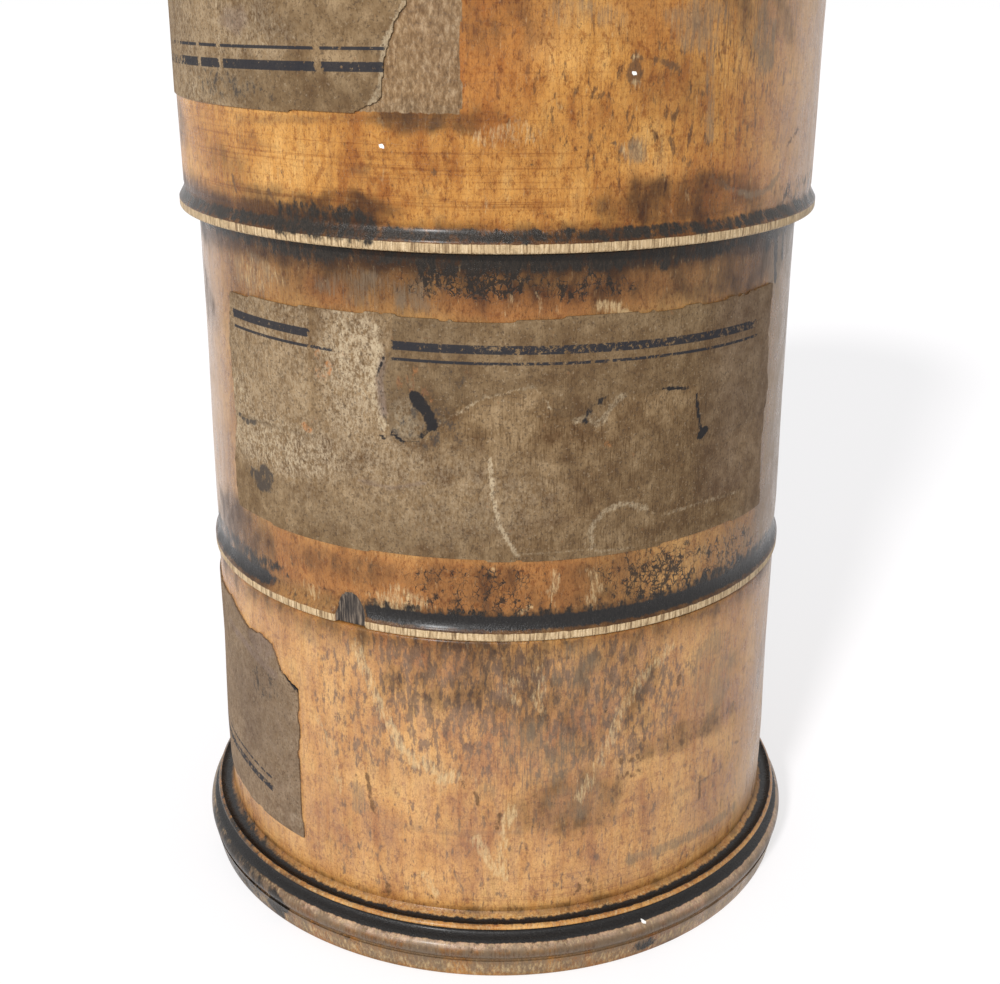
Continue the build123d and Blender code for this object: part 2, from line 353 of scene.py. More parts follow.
class Finish:
    """A node material built up layer over layer."""

    def __init__(self, name):
        self.material = bpy.data.materials.new(name)
        self.material.use_nodes = True
        self.nodes = self.material.node_tree.nodes
        self.links = self.material.node_tree.links
        self.shader = self.nodes["Principled BSDF"]
        self.where = self.node("ShaderNodeTexCoord").outputs["Object"]

    def node(self, kind, inputs=None, **settings):
        made = self.nodes.new(kind)
        for key, value in settings.items():
            setattr(made, key, value)
        for key, value in (inputs or {}).items():
            if isinstance(value, bpy.types.NodeSocket):
                self.links.new(value, made.inputs[key])
            else:
                made.inputs[key].default_value = value
        return made

    def stretched(self, size, wide, tall, seed):
        scale = 1 / (size * MM)
        place = (seed * 3.1, seed * 1.7, seed * 2.3)
        inputs = {"Vector": self.where, "Location": place, "Scale": (scale / wide, scale / wide, scale / tall)}
        return self.node("ShaderNodeMapping", inputs).outputs[0]

    def noise(self, size, wide=1.0, tall=1.0, detail=3.0, rough=0.55, seed=0.0):
        """Noise in lumps of size mm, stretched wide round the piece or tall up it, spread over 0 to 1."""
        inputs = {"Vector": self.stretched(size, wide, tall, seed), "Scale": 1.0, "Detail": detail, "Roughness": rough}
        grey = self.node("ShaderNodeTexNoise", inputs).outputs[0]
        return self.cut(grey, 0.27, 0.73, plain=True)

    def cells(self, size, wide=1.0, tall=1.0, seed=0.0, bent=0.0):
        """How far it is to the nearest edge of a net of cells about size mm across."""
        at = self.stretched(size, wide, tall, seed)
        sway = self.node("ShaderNodeTexNoise", {"Vector": at, "Scale": 1.3, "Detail": 2.0}).outputs["Color"]
        sway = self.node("ShaderNodeVectorMath", {0: sway, 1: (bent, bent, bent)}, operation="MULTIPLY").outputs[0]
        at = self.node("ShaderNodeVectorMath", {0: at, 1: sway}, operation="ADD").outputs[0]
        inputs = {"Vector": at, "Scale": 1.0}
        return self.node("ShaderNodeTexVoronoi", inputs, feature="DISTANCE_TO_EDGE").outputs["Distance"]

    def painted(self, name):
        return self.node("ShaderNodeAttribute", attribute_name=name).outputs["Fac"]

    def math(self, operation, a, b):
        return self.node("ShaderNodeMath", {0: a, 1: b}, operation=operation).outputs[0]

    def cut(self, value, low, high, plain=False):
        kind = "LINEAR" if plain else "SMOOTHSTEP"
        inputs = {"Value": value, "From Min": low, "From Max": high}
        return self.node("ShaderNodeMapRange", inputs, interpolation_type=kind).outputs[0]

    def ramp(self, value, *stops):
        made = self.node("ShaderNodeValToRGB", {"Fac": value})
        marks = made.color_ramp.elements
        while len(marks) < len(stops):
            marks.new(0.5)
        for mark, (place, colour) in zip(marks, stops):
            mark.position = place
            mark.color = (*colour, 1)
        return made.outputs[0]

    def over(self, below, above, where, mode="MIX"):
        made = self.nodes.new("ShaderNodeMix")
        made.data_type = "RGBA"
        made.blend_type = mode
        for index, value in ((0, where), (6, below), (7, above)):
            if isinstance(value, bpy.types.NodeSocket):
                self.links.new(value, made.inputs[index])
            elif index:
                made.inputs[index].default_value = (*value, 1)
            else:
                made.inputs[index].default_value = value
        return made.outputs[2]

    def ragged(self, amount, noise, spread=0.7, low=0.42, high=0.58):
        """A painted layer broken up by noise: solid where it is 1, gone where it is 0."""
        lumps = self.math("MULTIPLY", self.math("SUBTRACT", noise, 0.5), spread)
        return self.cut(self.math("ADD", amount, lumps), low, high)

    def veil(self, amount, noise, low=0.4, high=1.4):
        """A painted layer that stays thin, thicker and thinner by noise."""
        return self.math("MULTIPLY", amount, self.cut(noise, -low, high, plain=True))

    def relief(self, height, depth, below=None):
        inputs = {"Height": height, "Strength": 1.0, "Distance": depth * MM}
        if below is not None:
            inputs["Normal"] = below
        return self.node("ShaderNodeBump", inputs).outputs[0]

    def set(self, **values):
        for key, value in values.items():
            socket = self.shader.inputs[key.replace("_", " ")]
            if isinstance(value, bpy.types.NodeSocket):
                self.links.new(value, socket)
            else:
                socket.default_value = value


AMBER_DEEP = (0.30, 0.108, 0.020)
AMBER = (0.50, 0.232, 0.052)
AMBER_LIGHT = (0.70, 0.385, 0.118)
RUST = (0.36, 0.115, 0.026)
BROWN = (0.115, 0.055, 0.022)
SOOT = (0.010, 0.008, 0.006)
BLACK = (0.010, 0.009, 0.009)
GREY = (0.19, 0.135, 0.085)
PALE = (0.62, 0.45, 0.24)
BARE = (0.47, 0.33, 0.18)
WOOD_WEAR_AND_PAINTED_LIGHT = (
    "fibre", "rust", "grey", "bare", "crackle", "chalk", "lathe", "drips", "smudge", "brown", "pale", "soot_and_shadow", "black",
    "char", "pale_tone_and_painted_sheen", "shade", "skin", "turned_way",
)


def varnished_wood(name, deep, middle, light, lathe_marks, fleck_colour):
    """Old shellac over pale turned wood: mottled, drawn out by the grain, scuffed pale and grimed black."""
    f = Finish(name)
    clouds = f.noise(9, tall=1.4, detail=4, seed=1)
    lumps = f.noise(2.2, tall=1.8, detail=4, seed=2)
    grain = f.noise(0.2, tall=14, detail=3, seed=3)
    streaks = f.noise(0.9, tall=9, detail=5, rough=0.6, seed=18)
    specks = f.noise(0.4, tall=1.5, detail=3, seed=4)
    level = f.node("ShaderNodeCombineXYZ", {2: f.math("MULTIPLY", f.painted("turned_way"), 1 / 0.45)}).outputs[0]
    drift = f.node("ShaderNodeVectorMath", {0: f.where, 1: (32, 32, 0)}, operation="MULTIPLY").outputs[0]
    level = f.node("ShaderNodeVectorMath", {0: level, 1: drift}, operation="ADD").outputs[0]
    rings = f.node("ShaderNodeTexNoise", {"Vector": level, "Scale": 1.0, "Detail": 4.0, "Roughness": 0.7}).outputs[0]
    rings = f.cut(rings, 0.27, 0.73, plain=True)
    rough_edge = f.noise(0.9, tall=1.8, detail=6, rough=0.68, seed=6)
    tone = f.math("ADD", f.math("MULTIPLY", clouds, 0.4), f.math("MULTIPLY", lumps, 0.35))
    tone = f.math("ADD", tone, f.math("MULTIPLY", streaks, 0.25))
    colour = f.ramp(tone, (0.26, deep), (0.5, middle), (0.76, light))
    drips = f.noise(0.6, tall=3.0, detail=5, rough=0.64, seed=7)
    drips = f.math("MULTIPLY", f.ragged(f.painted("drips"), drips, 1.7, 0.78, 1.2), 0.8)
    colour = f.over(colour, fleck_colour, drips)
    colour = f.over(colour, RUST, f.veil(f.painted("rust"), lumps))
    along = f.math("ADD", f.math("MULTIPLY", f.painted("fibre"), 0.8), 0.16)
    colour = f.over(colour, (0.46, 0.38, 0.31), f.math("MULTIPLY", f.cut(grain, 0.5, 0.95), along), "MULTIPLY")
    colour = f.over(colour, (0.55, 0.42, 0.30), f.math("MULTIPLY", f.cut(streaks, 0.55, 0.9), 0.55), "MULTIPLY")
    mottle = f.noise(0.8, tall=1.3, detail=6, rough=0.7, seed=25)
    colour = f.over(colour, (0.50, 0.35, 0.22), f.math("MULTIPLY", f.cut(mottle, 0.54, 0.82), 0.72), "MULTIPLY")
    specks = f.noise(0.2, tall=3, detail=6, rough=0.8, seed=32)
    colour = f.over(colour, (0.50, 0.38, 0.26), f.math("MULTIPLY", f.cut(specks, 0.5, 0.78), 0.6), "MULTIPLY")
    turned = f.math("ADD", f.math("MULTIPLY", f.painted("lathe"), 0.7), lathe_marks)
    colour = f.over(colour, (0.66, 0.56, 0.45), f.math("MULTIPLY", f.cut(rings, 0.5, 0.9), turned), "MULTIPLY")
    colour = f.over(colour, (0.36, 0.24, 0.15), f.math("MULTIPLY", f.cut(specks, 0.66, 0.86), 0.65), "MULTIPLY")
    colour = f.over(colour, BROWN, f.math("MULTIPLY", f.veil(f.painted("brown"), lumps), 0.85))
    # painted reflection: a pale pinkish veil down the sides and on the foot's crest where the white room would be
    # mirrored; on the bottom wall it also tints the whole wall paler
    colour = f.over(colour, (0.56, 0.44, 0.36), f.math("MULTIPLY", f.veil(f.painted("pale_tone_and_painted_sheen"), streaks, 1.2, 1.4), 0.78))
    shade = f.ragged(f.painted("shade"), lumps, 0.7, 0.0, 1.0)
    colour = f.over(colour, (0.10, 0.068, 0.046), f.math("MULTIPLY", shade, 0.95), "MULTIPLY")
    left = f.ramp(f.noise(0.4, tall=2.2, detail=5, rough=0.7, seed=23), (0.2, (0.10, 0.058, 0.026)), (0.5, (0.20, 0.125, 0.062)), (0.9, (0.38, 0.27, 0.16)))
    colour = f.over(colour, left, f.math("MULTIPLY", f.ragged(f.painted("skin"), rough_edge, 0.8, 0.3, 0.6), 0.9))
    smudge = f.ragged(f.painted("smudge"), rough_edge, 1.5, 0.5, 1.0)
    colour = f.over(colour, BROWN, f.math("MULTIPLY", smudge, 0.85))
    grey = f.ragged(f.painted("grey"), f.math("ADD", f.math("MULTIPLY", grain, 0.5), f.math("MULTIPLY", lumps, 0.5)), 1.3, 0.25, 0.95)
    colour = f.over(colour, GREY, f.math("MULTIPLY", grey, 0.62))
    scuffs = f.noise(0.33, tall=4, detail=5, rough=0.65, seed=8)
    pale = f.ragged(f.painted("pale"), scuffs, 1.5, 0.25, 1.25)
    colour = f.over(colour, PALE, f.math("MULTIPLY", pale, 0.62))
    bare = f.ragged(f.painted("bare"), rough_edge, 0.7, 0.35, 0.7)
    bare_wood = f.ramp(grain, (0.2, (0.20, 0.125, 0.062)), (0.5, BARE), (0.9, (0.66, 0.50, 0.31)))
    colour = f.over(colour, bare_wood, bare)
    net = f.math("MINIMUM", f.cells(0.6, tall=1.2, seed=9, bent=0.9), f.cells(1.25, tall=1.2, seed=19, bent=0.9))
    worn = f.ragged(f.painted("crackle"), rough_edge, 0.9, 0.2, 1.0)
    cracks = f.cut(f.math("SUBTRACT", f.math("MULTIPLY", worn, 0.2), net), -0.04, 0.07)
    colour = f.over(colour, SOOT, f.math("MULTIPLY", cracks, 0.9))
    soot_and_shadow = f.ragged(f.painted("soot_and_shadow"), rough_edge, 1.15, 0.32, 0.85)
    grime = f.ramp(specks, (0.3, SOOT), (0.75, (0.028, 0.020, 0.014)), (0.98, (0.12, 0.08, 0.045)))
    colour = f.over(colour, grime, soot_and_shadow)
    black = f.ragged(f.painted("black"), rough_edge, 0.6, 0.3, 0.65)
    paint = f.ramp(specks, (0.3, BLACK), (0.85, (0.022, 0.019, 0.017)), (1.0, (0.10, 0.085, 0.07)))
    colour = f.over(colour, paint, black)
    burnt = f.ramp(grain, (0.25, (0.018, 0.015, 0.014)), (0.6, (0.085, 0.066, 0.052)), (0.95, (0.22, 0.17, 0.125)))
    colour = f.over(colour, burnt, f.ragged(f.painted("char"), rough_edge, 0.5))
    colour = f.over(colour, (0.88, 0.86, 0.82), f.cut(f.painted("chalk"), 0.45, 0.6))
    inside = f.painted("inside")
    kept = f.ramp(f.noise(1.2, tall=6, detail=4, seed=10), (0.25, (0.20, 0.115, 0.055)), (0.75, (0.40, 0.26, 0.14)))
    colour = f.over(colour, kept, inside)
    dull = f.math("MAXIMUM", f.math("MAXIMUM", pale, bare), f.math("MAXIMUM", inside, f.painted("char")))
    roughness = f.math("ADD", f.cut(lumps, -0.7, 3.2, plain=True), f.math("MULTIPLY", dull, 0.3))
    height = f.math("ADD", f.math("MULTIPLY", grain, 0.5), f.math("MULTIPLY", specks, 0.4))
    height = f.math("ADD", height, f.math("MULTIPLY", f.math("ADD", pale, cracks), -0.8))
    normal = f.relief(rings, 0.01, f.relief(height, 0.04))
    f.set(Base_Color=colour, Roughness=roughness, Normal=normal, Coat_Weight=0.1, Coat_Roughness=0.2, Specular_IOR_Level=0.2)
    return f.material


def old_paper():
    f = Finish("old_paper")
    clouds = f.noise(7, detail=4, seed=11)
    lumps = f.noise(1.6, detail=5, rough=0.6, seed=12)
    fibres = f.noise(0.16, tall=9, detail=3, seed=13)
    flecks = f.noise(0.3, detail=3, seed=14)
    edge = f.noise(0.8, tall=1.4, detail=6, rough=0.68, seed=15)
    tone = f.math("ADD", f.math("MULTIPLY", clouds, 0.5), f.math("MULTIPLY", lumps, 0.5))
    colour = f.ramp(tone, (0.2, (0.105, 0.057, 0.025)), (0.5, (0.200, 0.126, 0.062)), (0.8, (0.315, 0.215, 0.118)))
    along = f.math("ADD", f.math("MULTIPLY", f.painted("fibre"), 0.7), 0.2)
    colour = f.over(colour, (0.50, 0.44, 0.37), f.math("MULTIPLY", f.cut(fibres, 0.45, 0.95), along), "MULTIPLY")
    fine = f.math("ADD", f.math("MULTIPLY", f.noise(0.28, tall=1.6, detail=5, rough=0.7, seed=24), 0.6), f.math("MULTIPLY", edge, 0.4))
    light = f.math("MULTIPLY", f.painted("light"), f.cut(fine, 0.28, 0.72))
    colour = f.over(colour, (0.42, 0.325, 0.215), f.math("MULTIPLY", light, 0.85))
    pale = f.ragged(f.painted("pale"), fine, 1.6, 0.3, 1.15)
    colour = f.over(colour, (0.50, 0.395, 0.26), f.math("MULTIPLY", pale, 0.72))
    stains = f.cut(f.noise(0.6, tall=1.5, detail=6, rough=0.72, seed=26), 0.5, 0.85)
    colour = f.over(colour, (0.11, 0.066, 0.032), f.math("MULTIPLY", stains, 0.62))
    grit = f.noise(0.24, tall=1.8, detail=6, rough=0.8, seed=31)
    colour = f.over(colour, (0.40, 0.34, 0.28), f.math("MULTIPLY", f.cut(grit, 0.5, 0.78), 0.55), "MULTIPLY")
    colour = f.over(colour, (0.078, 0.050, 0.027), f.math("MULTIPLY", f.veil(f.painted("brown"), fine), 0.92))
    colour = f.over(colour, (0.185, 0.135, 0.118), f.veil(f.painted("grey"), lumps))
    colour = f.over(colour, (0.40, 0.16, 0.05), f.math("MULTIPLY", f.ragged(f.painted("rust"), edge, 1.4, 0.4, 1.0), 0.8))
    colour = f.over(colour, (0.50, 0.40, 0.28), f.math("MULTIPLY", f.cut(flecks, 0.74, 0.92), 0.2))
    dots = f.cut(f.noise(0.3, detail=3, seed=16), 0.62, 0.86)
    colour = f.over(colour, (0.07, 0.045, 0.028), f.math("MULTIPLY", dots, 0.62))
    up = f.painted("print_up")
    broken = f.noise(0.6, detail=6, rough=0.75, seed=17)
    thick = f.cut(f.math("ABSOLUTE", up, 0.0), 0.52, 0.42)
    thin_up = f.math("ABSOLUTE", f.math("SUBTRACT", up, f.painted("print_gap")), 0.0)
    thin = f.cut(thin_up, 0.2, 0.12)
    rules = f.math("MULTIPLY", f.math("MAXIMUM", thick, thin), f.ragged(f.painted("ink"), broken, 1.7, 0.4, 0.62))
    colour = f.over(colour, (0.018, 0.020, 0.026), f.math("MULTIPLY", rules, 0.93))
    smudge = f.ragged(f.painted("smudge"), edge, 1.3, 0.45, 0.95)
    colour = f.over(colour, (0.045, 0.038, 0.034), f.math("MULTIPLY", smudge, 0.85))
    # dark grime, and painted shadow around the lifted flap and under the curled edge
    colour = f.over(colour, (0.02, 0.018, 0.018), f.ragged(f.painted("soot_and_shadow"), edge, 1.0, 0.4, 0.8))
    height = f.math("ADD", f.math("MULTIPLY", fibres, 0.5), f.math("MULTIPLY", flecks, 0.7))
    f.set(Base_Color=colour, Roughness=0.72, Normal=f.relief(height, 0.05), Specular_IOR_Level=0.12)
    return f.material


def plain_turned_wood(name):
    """Inner floors: bare wood darkened by years of spice."""
    f = Finish(name)
    growth = f.noise(1.1, wide=1, tall=8, detail=4, seed=21)
    colour = f.ramp(growth, (0.2, (0.19, 0.105, 0.05)), (0.55, (0.33, 0.205, 0.105)), (0.85, (0.46, 0.31, 0.17)))
    colour = f.over(colour, (0.11, 0.06, 0.03), f.math("MULTIPLY", f.cut(f.noise(4, detail=5, seed=22), 0.5, 0.9), 0.6))
    f.set(Base_Color=colour, Roughness=0.75, Normal=f.relief(growth, 0.06))
    return f.material


# ---- the three boxes

def wear_inside(places, wall_r):
    inner = places.radius < wall_r - 1.4
    places.layer("inside")[inner] = 1.0


def age_the_back(places, low, high, seed):
    """Stains, scuffs and drips that the front has, laid out by chance round the sides and back."""
    chance = np.random.default_rng(seed)
    for name, count, wide, tall, much in (
        ("shade", 6, 14, 6, 0.5), ("rust", 5, 12, 7, 0.6), ("grey", 6, 6, 8, 0.6), ("pale", 9, 1.6, 5, 0.55),
        ("smudge", 9, 2.4, 2.2, 0.7), ("drips", 6, 18, 12, 0.9), ("brown", 7, 5, 3, 0.55),
    ):
        for _ in range(count):
            angle, height = chance.uniform(72, 288), chance.uniform(low, high)
            size = chance.uniform(0.6, 1.4)
            places.spot(name, angle, height, wide * size, tall * size, much, chance.uniform(-25, 25))


def bottom_tier(finish):
    top = SEAMS[1]
    piece = start_outline("bottom_tier_wood", SEAT_R, 0)
    line_to(FOOT_R - 0.3, 0, 3)
    curve_to((FOOT_R - eighth(0.3), eighth(0.3)), (FOOT_R, 0.3), 3)
    line_to(FOOT_R + 0.5, 2.6, 7)
    line_to(FOOT_R + 0.3, 2.6)
    line_to(FOOT_R + 0.3, 2.8)
    curve_to((FOOT_R + 0.75, 3.95), (FOOT_R + 0.1, 5.1), 12)
    curve_to((38.9, 5.68), (39.05, 6.25), 8)
    curve_to((39.45, 6.65), (39.05, 7.05), 6)
    curve_to((38.03, 6.6), (BOTTOM_R, 7.35), 8)
    line_to(BOTTOM_R, top - 0.4, 86)
    neck_above(BOTTOM_R, top)
    line_to(BORE_R, 4.38, 6)
    line_to(SEAT_R, 4.38)
    line_to(SEAT_R, 0)
    spin_round(piece, 440, 110)
    places = Places(piece, BOTTOM_R)
    bend_thread(places, NECK_R, top, top + 6.4, top)
    for name in WOOD_WEAR_AND_PAINTED_LIGHT:
        places.layer(name)
    # foot: black paint in the hollows, worn off the bead and the ovolo
    places.band("black", 5.0, 6.35, 0.2)
    groove = soft(39.2, 38.95, places.radius) * soft(37.1, 38.2, places.radius) * (places.height > 6.4)
    places.add("black", groove * (places.height < 7.4))
    places.band("smudge", 2.3, 3.8, 0.5, 0.66)
    places.band("smudge", 2.4, 6, 0.8, 0.8, left=-88, right=-26, ends=12)
    places.band("smudge", 4.0, 6.2, 0.5, 0.6, left=-30, right=22, ends=8)
    places.band("brown", 0.0, 5.1, 0.3, 0.8)
    places.band("grey", 0.5, 5.0, 0.5, 0.75)
    places.band("shade", 2.5, 4.4, 0.7, 0.85)
    places.band("shade", 0, 2.6, 0.4, 0.45, right=40, ends=10)
    # painted highlight along the crest of the foot's ovolo
    places.band("pale_tone_and_painted_sheen", 4.3, 5.1, 0.25, 0.9, right=66)
    places.band("pale", 0.3, 2.2, 0.5, 0.5)
    places.band("pale", 4.5, 5.1, 0.25, 0.45)
    places.band("pale", 6.4, 7.0, 0.2, 0.5, left=-50, right=70)
    places.spot("soot_and_shadow", -43, 2.4, 3.5, 4.2)
    places.spot("soot_and_shadow", -26, 2.6, 3.0, 1.4, 0.6)
    places.spot("soot_and_shadow", 27, 1.6, 3.4, 1.8, 0.8)
    places.spot("soot_and_shadow", -62, 3.5, 20, 9, 0.78)
    places.spot("chalk", 26.5, 4.6, 0.45, 0.45, 1.2)
    # wall
    places.band("lathe", 7, 12, 2, 0.8)
    places.band("drips", 24, 43.2, 3, 0.8, left=-38, right=20, ends=8)
    places.band("drips", 7, 24, 3, 0.6, left=-38, right=60, ends=8)
    places.spot("drips", -19, 38, 8, 12, 0.85)
    places.band("brown", 40.5, 43.2, 1.2, 0.5)
    places.band("shade", 41.2, 44, 2.0, 0.6)
    places.spot("shade", -2, 39, 26, 12, 0.42)
    places.spot("shade", 16, 36, 20, 16, 0.42)
    places.spot("drips", -4, 37, 30, 16, 1.0)
    places.spot("drips", 20, 34, 26, 20, 0.95)
    places.spot("shade", 14, 21.5, 16, 9, 0.42)
    places.spot("shade", 40, 27, 22, 4, 0.45)
    places.band("shade", 7, 7.9, 0.7, 0.62)
    places.band("soot_and_shadow", 7.2, 7.6, 0.3, 0.4)
    places.band("shade", 0, 7, 0.5, 1.0, right=-38, ends=14)
    # painted reflection: the right side of the foot made lighter
    places.band("pale_tone_and_painted_sheen", 0, 5.1, 0.4, 0.85, left=36, right=100, ends=10)
    places.band("grey", 0, 7, 0.5, 0.8, right=-48, ends=9)
    places.band("shade", 0, 5, 1.0, 0.4)
    # painted reflection down the right side; the weak band all round only tints the whole wall paler
    places.band("pale_tone_and_painted_sheen", 8, 42, 3, 0.8, left=58, right=104, ends=14)
    places.band("pale_tone_and_painted_sheen", 8, 42, 3, 0.3)
    places.spot("brown", 22, 41.6, 30, 3.6, 0.6)
    places.spot("brown", -33, 41, 12, 3.6, 0.6)
    places.spot("brown", 20, 26, 9, 5, 0.45)
    places.spot("brown", -18, 26, 12, 6, 0.3)
    places.spot("brown", 14, 39, 12, 8, 0.3)
    places.spot("fibre", 8, 34, 16, 22, 1.0)
    places.spot("fibre", 12, 38, 22, 12, 0.8)
    places.spot("grey", 8, 28.5, 11, 9, 0.62)
    places.spot("grey", 3, 31, 3, 5, 0.6)
    places.spot("grey", 15, 22, 8, 6, 0.55)
    places.spot("brown", 14, 22, 8, 6, 0.45)
    places.spot("grey", 14, 39.5, 7, 7, 0.55)
    places.spot("grey", 45, 34, 10, 13, 0.6)
    places.spot("grey", 48, 31, 4, 6, 0.75)
    places.spot("grey", -26, 20.5, 3, 4, 0.75)
    places.spot("grey", -5, 24.5, 10, 5, 0.4)
    places.line("pale", [(-25.5, 41), (-24, 38), (-20, 32.5), (-17, 28.5), (-12, 26.7), (-8, 25.4)], 1.4, 0.75)
    places.spot("pale", -14, 27.3, 4, 1.6, 0.7)
    places.spot("pale", -8, 25.5, 5, 1.6, 0.55)
    places.line("pale", [(-35, 30), (-32, 26), (-30, 21)], 1.2, 0.45)
    places.line("pale", [(33, 39.5), (27, 36.5), (23, 33), (21, 29), (18, 25.5), (15.5, 22.5)], 1.6, 0.62)
    places.spot("pale", 2.8, 20.5, 2.0, 4.2, 0.85)
    places.line("pale", [(2, 21), (1.2, 16), (1.2, 12.5)], 1.2, 0.75)
    places.line("pale", [(-3.5, 17.5), (-1, 14.5), (1.2, 12.3)], 1.5, 0.8)
    places.line("pale", [(-13, 12), (-11, 9.5)], 1.1, 0.75)
    places.spot("pale", 7.5, 36.5, 1.8, 6, 0.6)
    places.spot("pale", 3, 37, 2.2, 5, 0.5)
    places.line("smudge", [(-24, 24), (-23.6, 21.5), (-22.6, 19.2)], 0.75)
    places.line("smudge", [(-3.7, 24), (-3.1, 22.4)], 0.6)
    places.line("smudge", [(0.8, 21), (0.3, 19.2)], 0.7, 0.9)
    places.spot("smudge", 6, 15.7, 0.8, 0.6)
    places.spot("smudge", 7.4, 23, 0.7, 1.0)
    places.spot("smudge", -2, 17.6, 0.8, 0.6)
    places.line("smudge", [(21, 26.3), (30, 26), (40, 26.3), (53, 27.2)], 1.1, 0.62)
    places.line("smudge", [(23, 24.2), (28, 24.1)], 1.2, 0.75)
    places.line("smudge", [(42.5, 19.4), (42.8, 16.7)], 0.6)
    places.line("smudge", [(43, 19.2), (47, 19.3), (50, 19.5)], 0.5, 0.8)
    places.line("smudge", [(54, 21.3), (58, 20.9)], 0.6, 0.7)
    places.spot("smudge", 19, 9.6, 5, 2.6, 0.6)
    places.spot("smudge", 15.5, 9.8, 0.9, 1.5)
    places.spot("smudge", -21.5, 9.1, 3, 1.8, 0.62)
    places.spot("smudge", -11, 8.7, 0.6, 1.0)
    places.line("brown", [(-21, 18.3), (-8, 18.2), (5, 18.6)], 0.5, 0.7)
    places.line("brown", [(10, 18.3), (30, 19), (50, 19.2)], 0.6, 0.6)
    places.line("grey", [(26, 12.2), (40, 12), (50, 11.6), (56, 11.3)], 1.6, 0.75)
    places.line("smudge", [(8, 42), (11, 41), (14, 40.8)], 0.5, 0.8)
    places.line("smudge", [(35.5, 35.2), (35.5, 34.3)], 0.9)
    age_the_back(places, 9, 42, 5)
    wear_inside(places, BOTTOM_R)
    out_of_round(places, *BOTTOM_SHAPE)
    places.move()
    places.write()
    piece.data.materials.append(finish)
    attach(piece, "bottom")
    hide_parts("bottom_tier")


def upper_outline(name, wall_r, proud, seam, top):
    low = seam + 0.12
    piece = start_outline(name, MOUTH_R, low)
    rim_and_cove(wall_r, proud, low, 8)
    line_to(wall_r, top - 0.4, 104)
    neck_above(wall_r, top)
    recess_below(seam, low)
    spin_round(piece, 440, 110)
    places = Places(piece, wall_r)
    bend_thread(places, NECK_R, top, top + 6.4, top)
    bend_thread(places, RECESS_R, low + 0.8, seam + 6.9, seam)
    for name in WOOD_WEAR_AND_PAINTED_LIGHT:
        places.layer(name)
    return piece, places


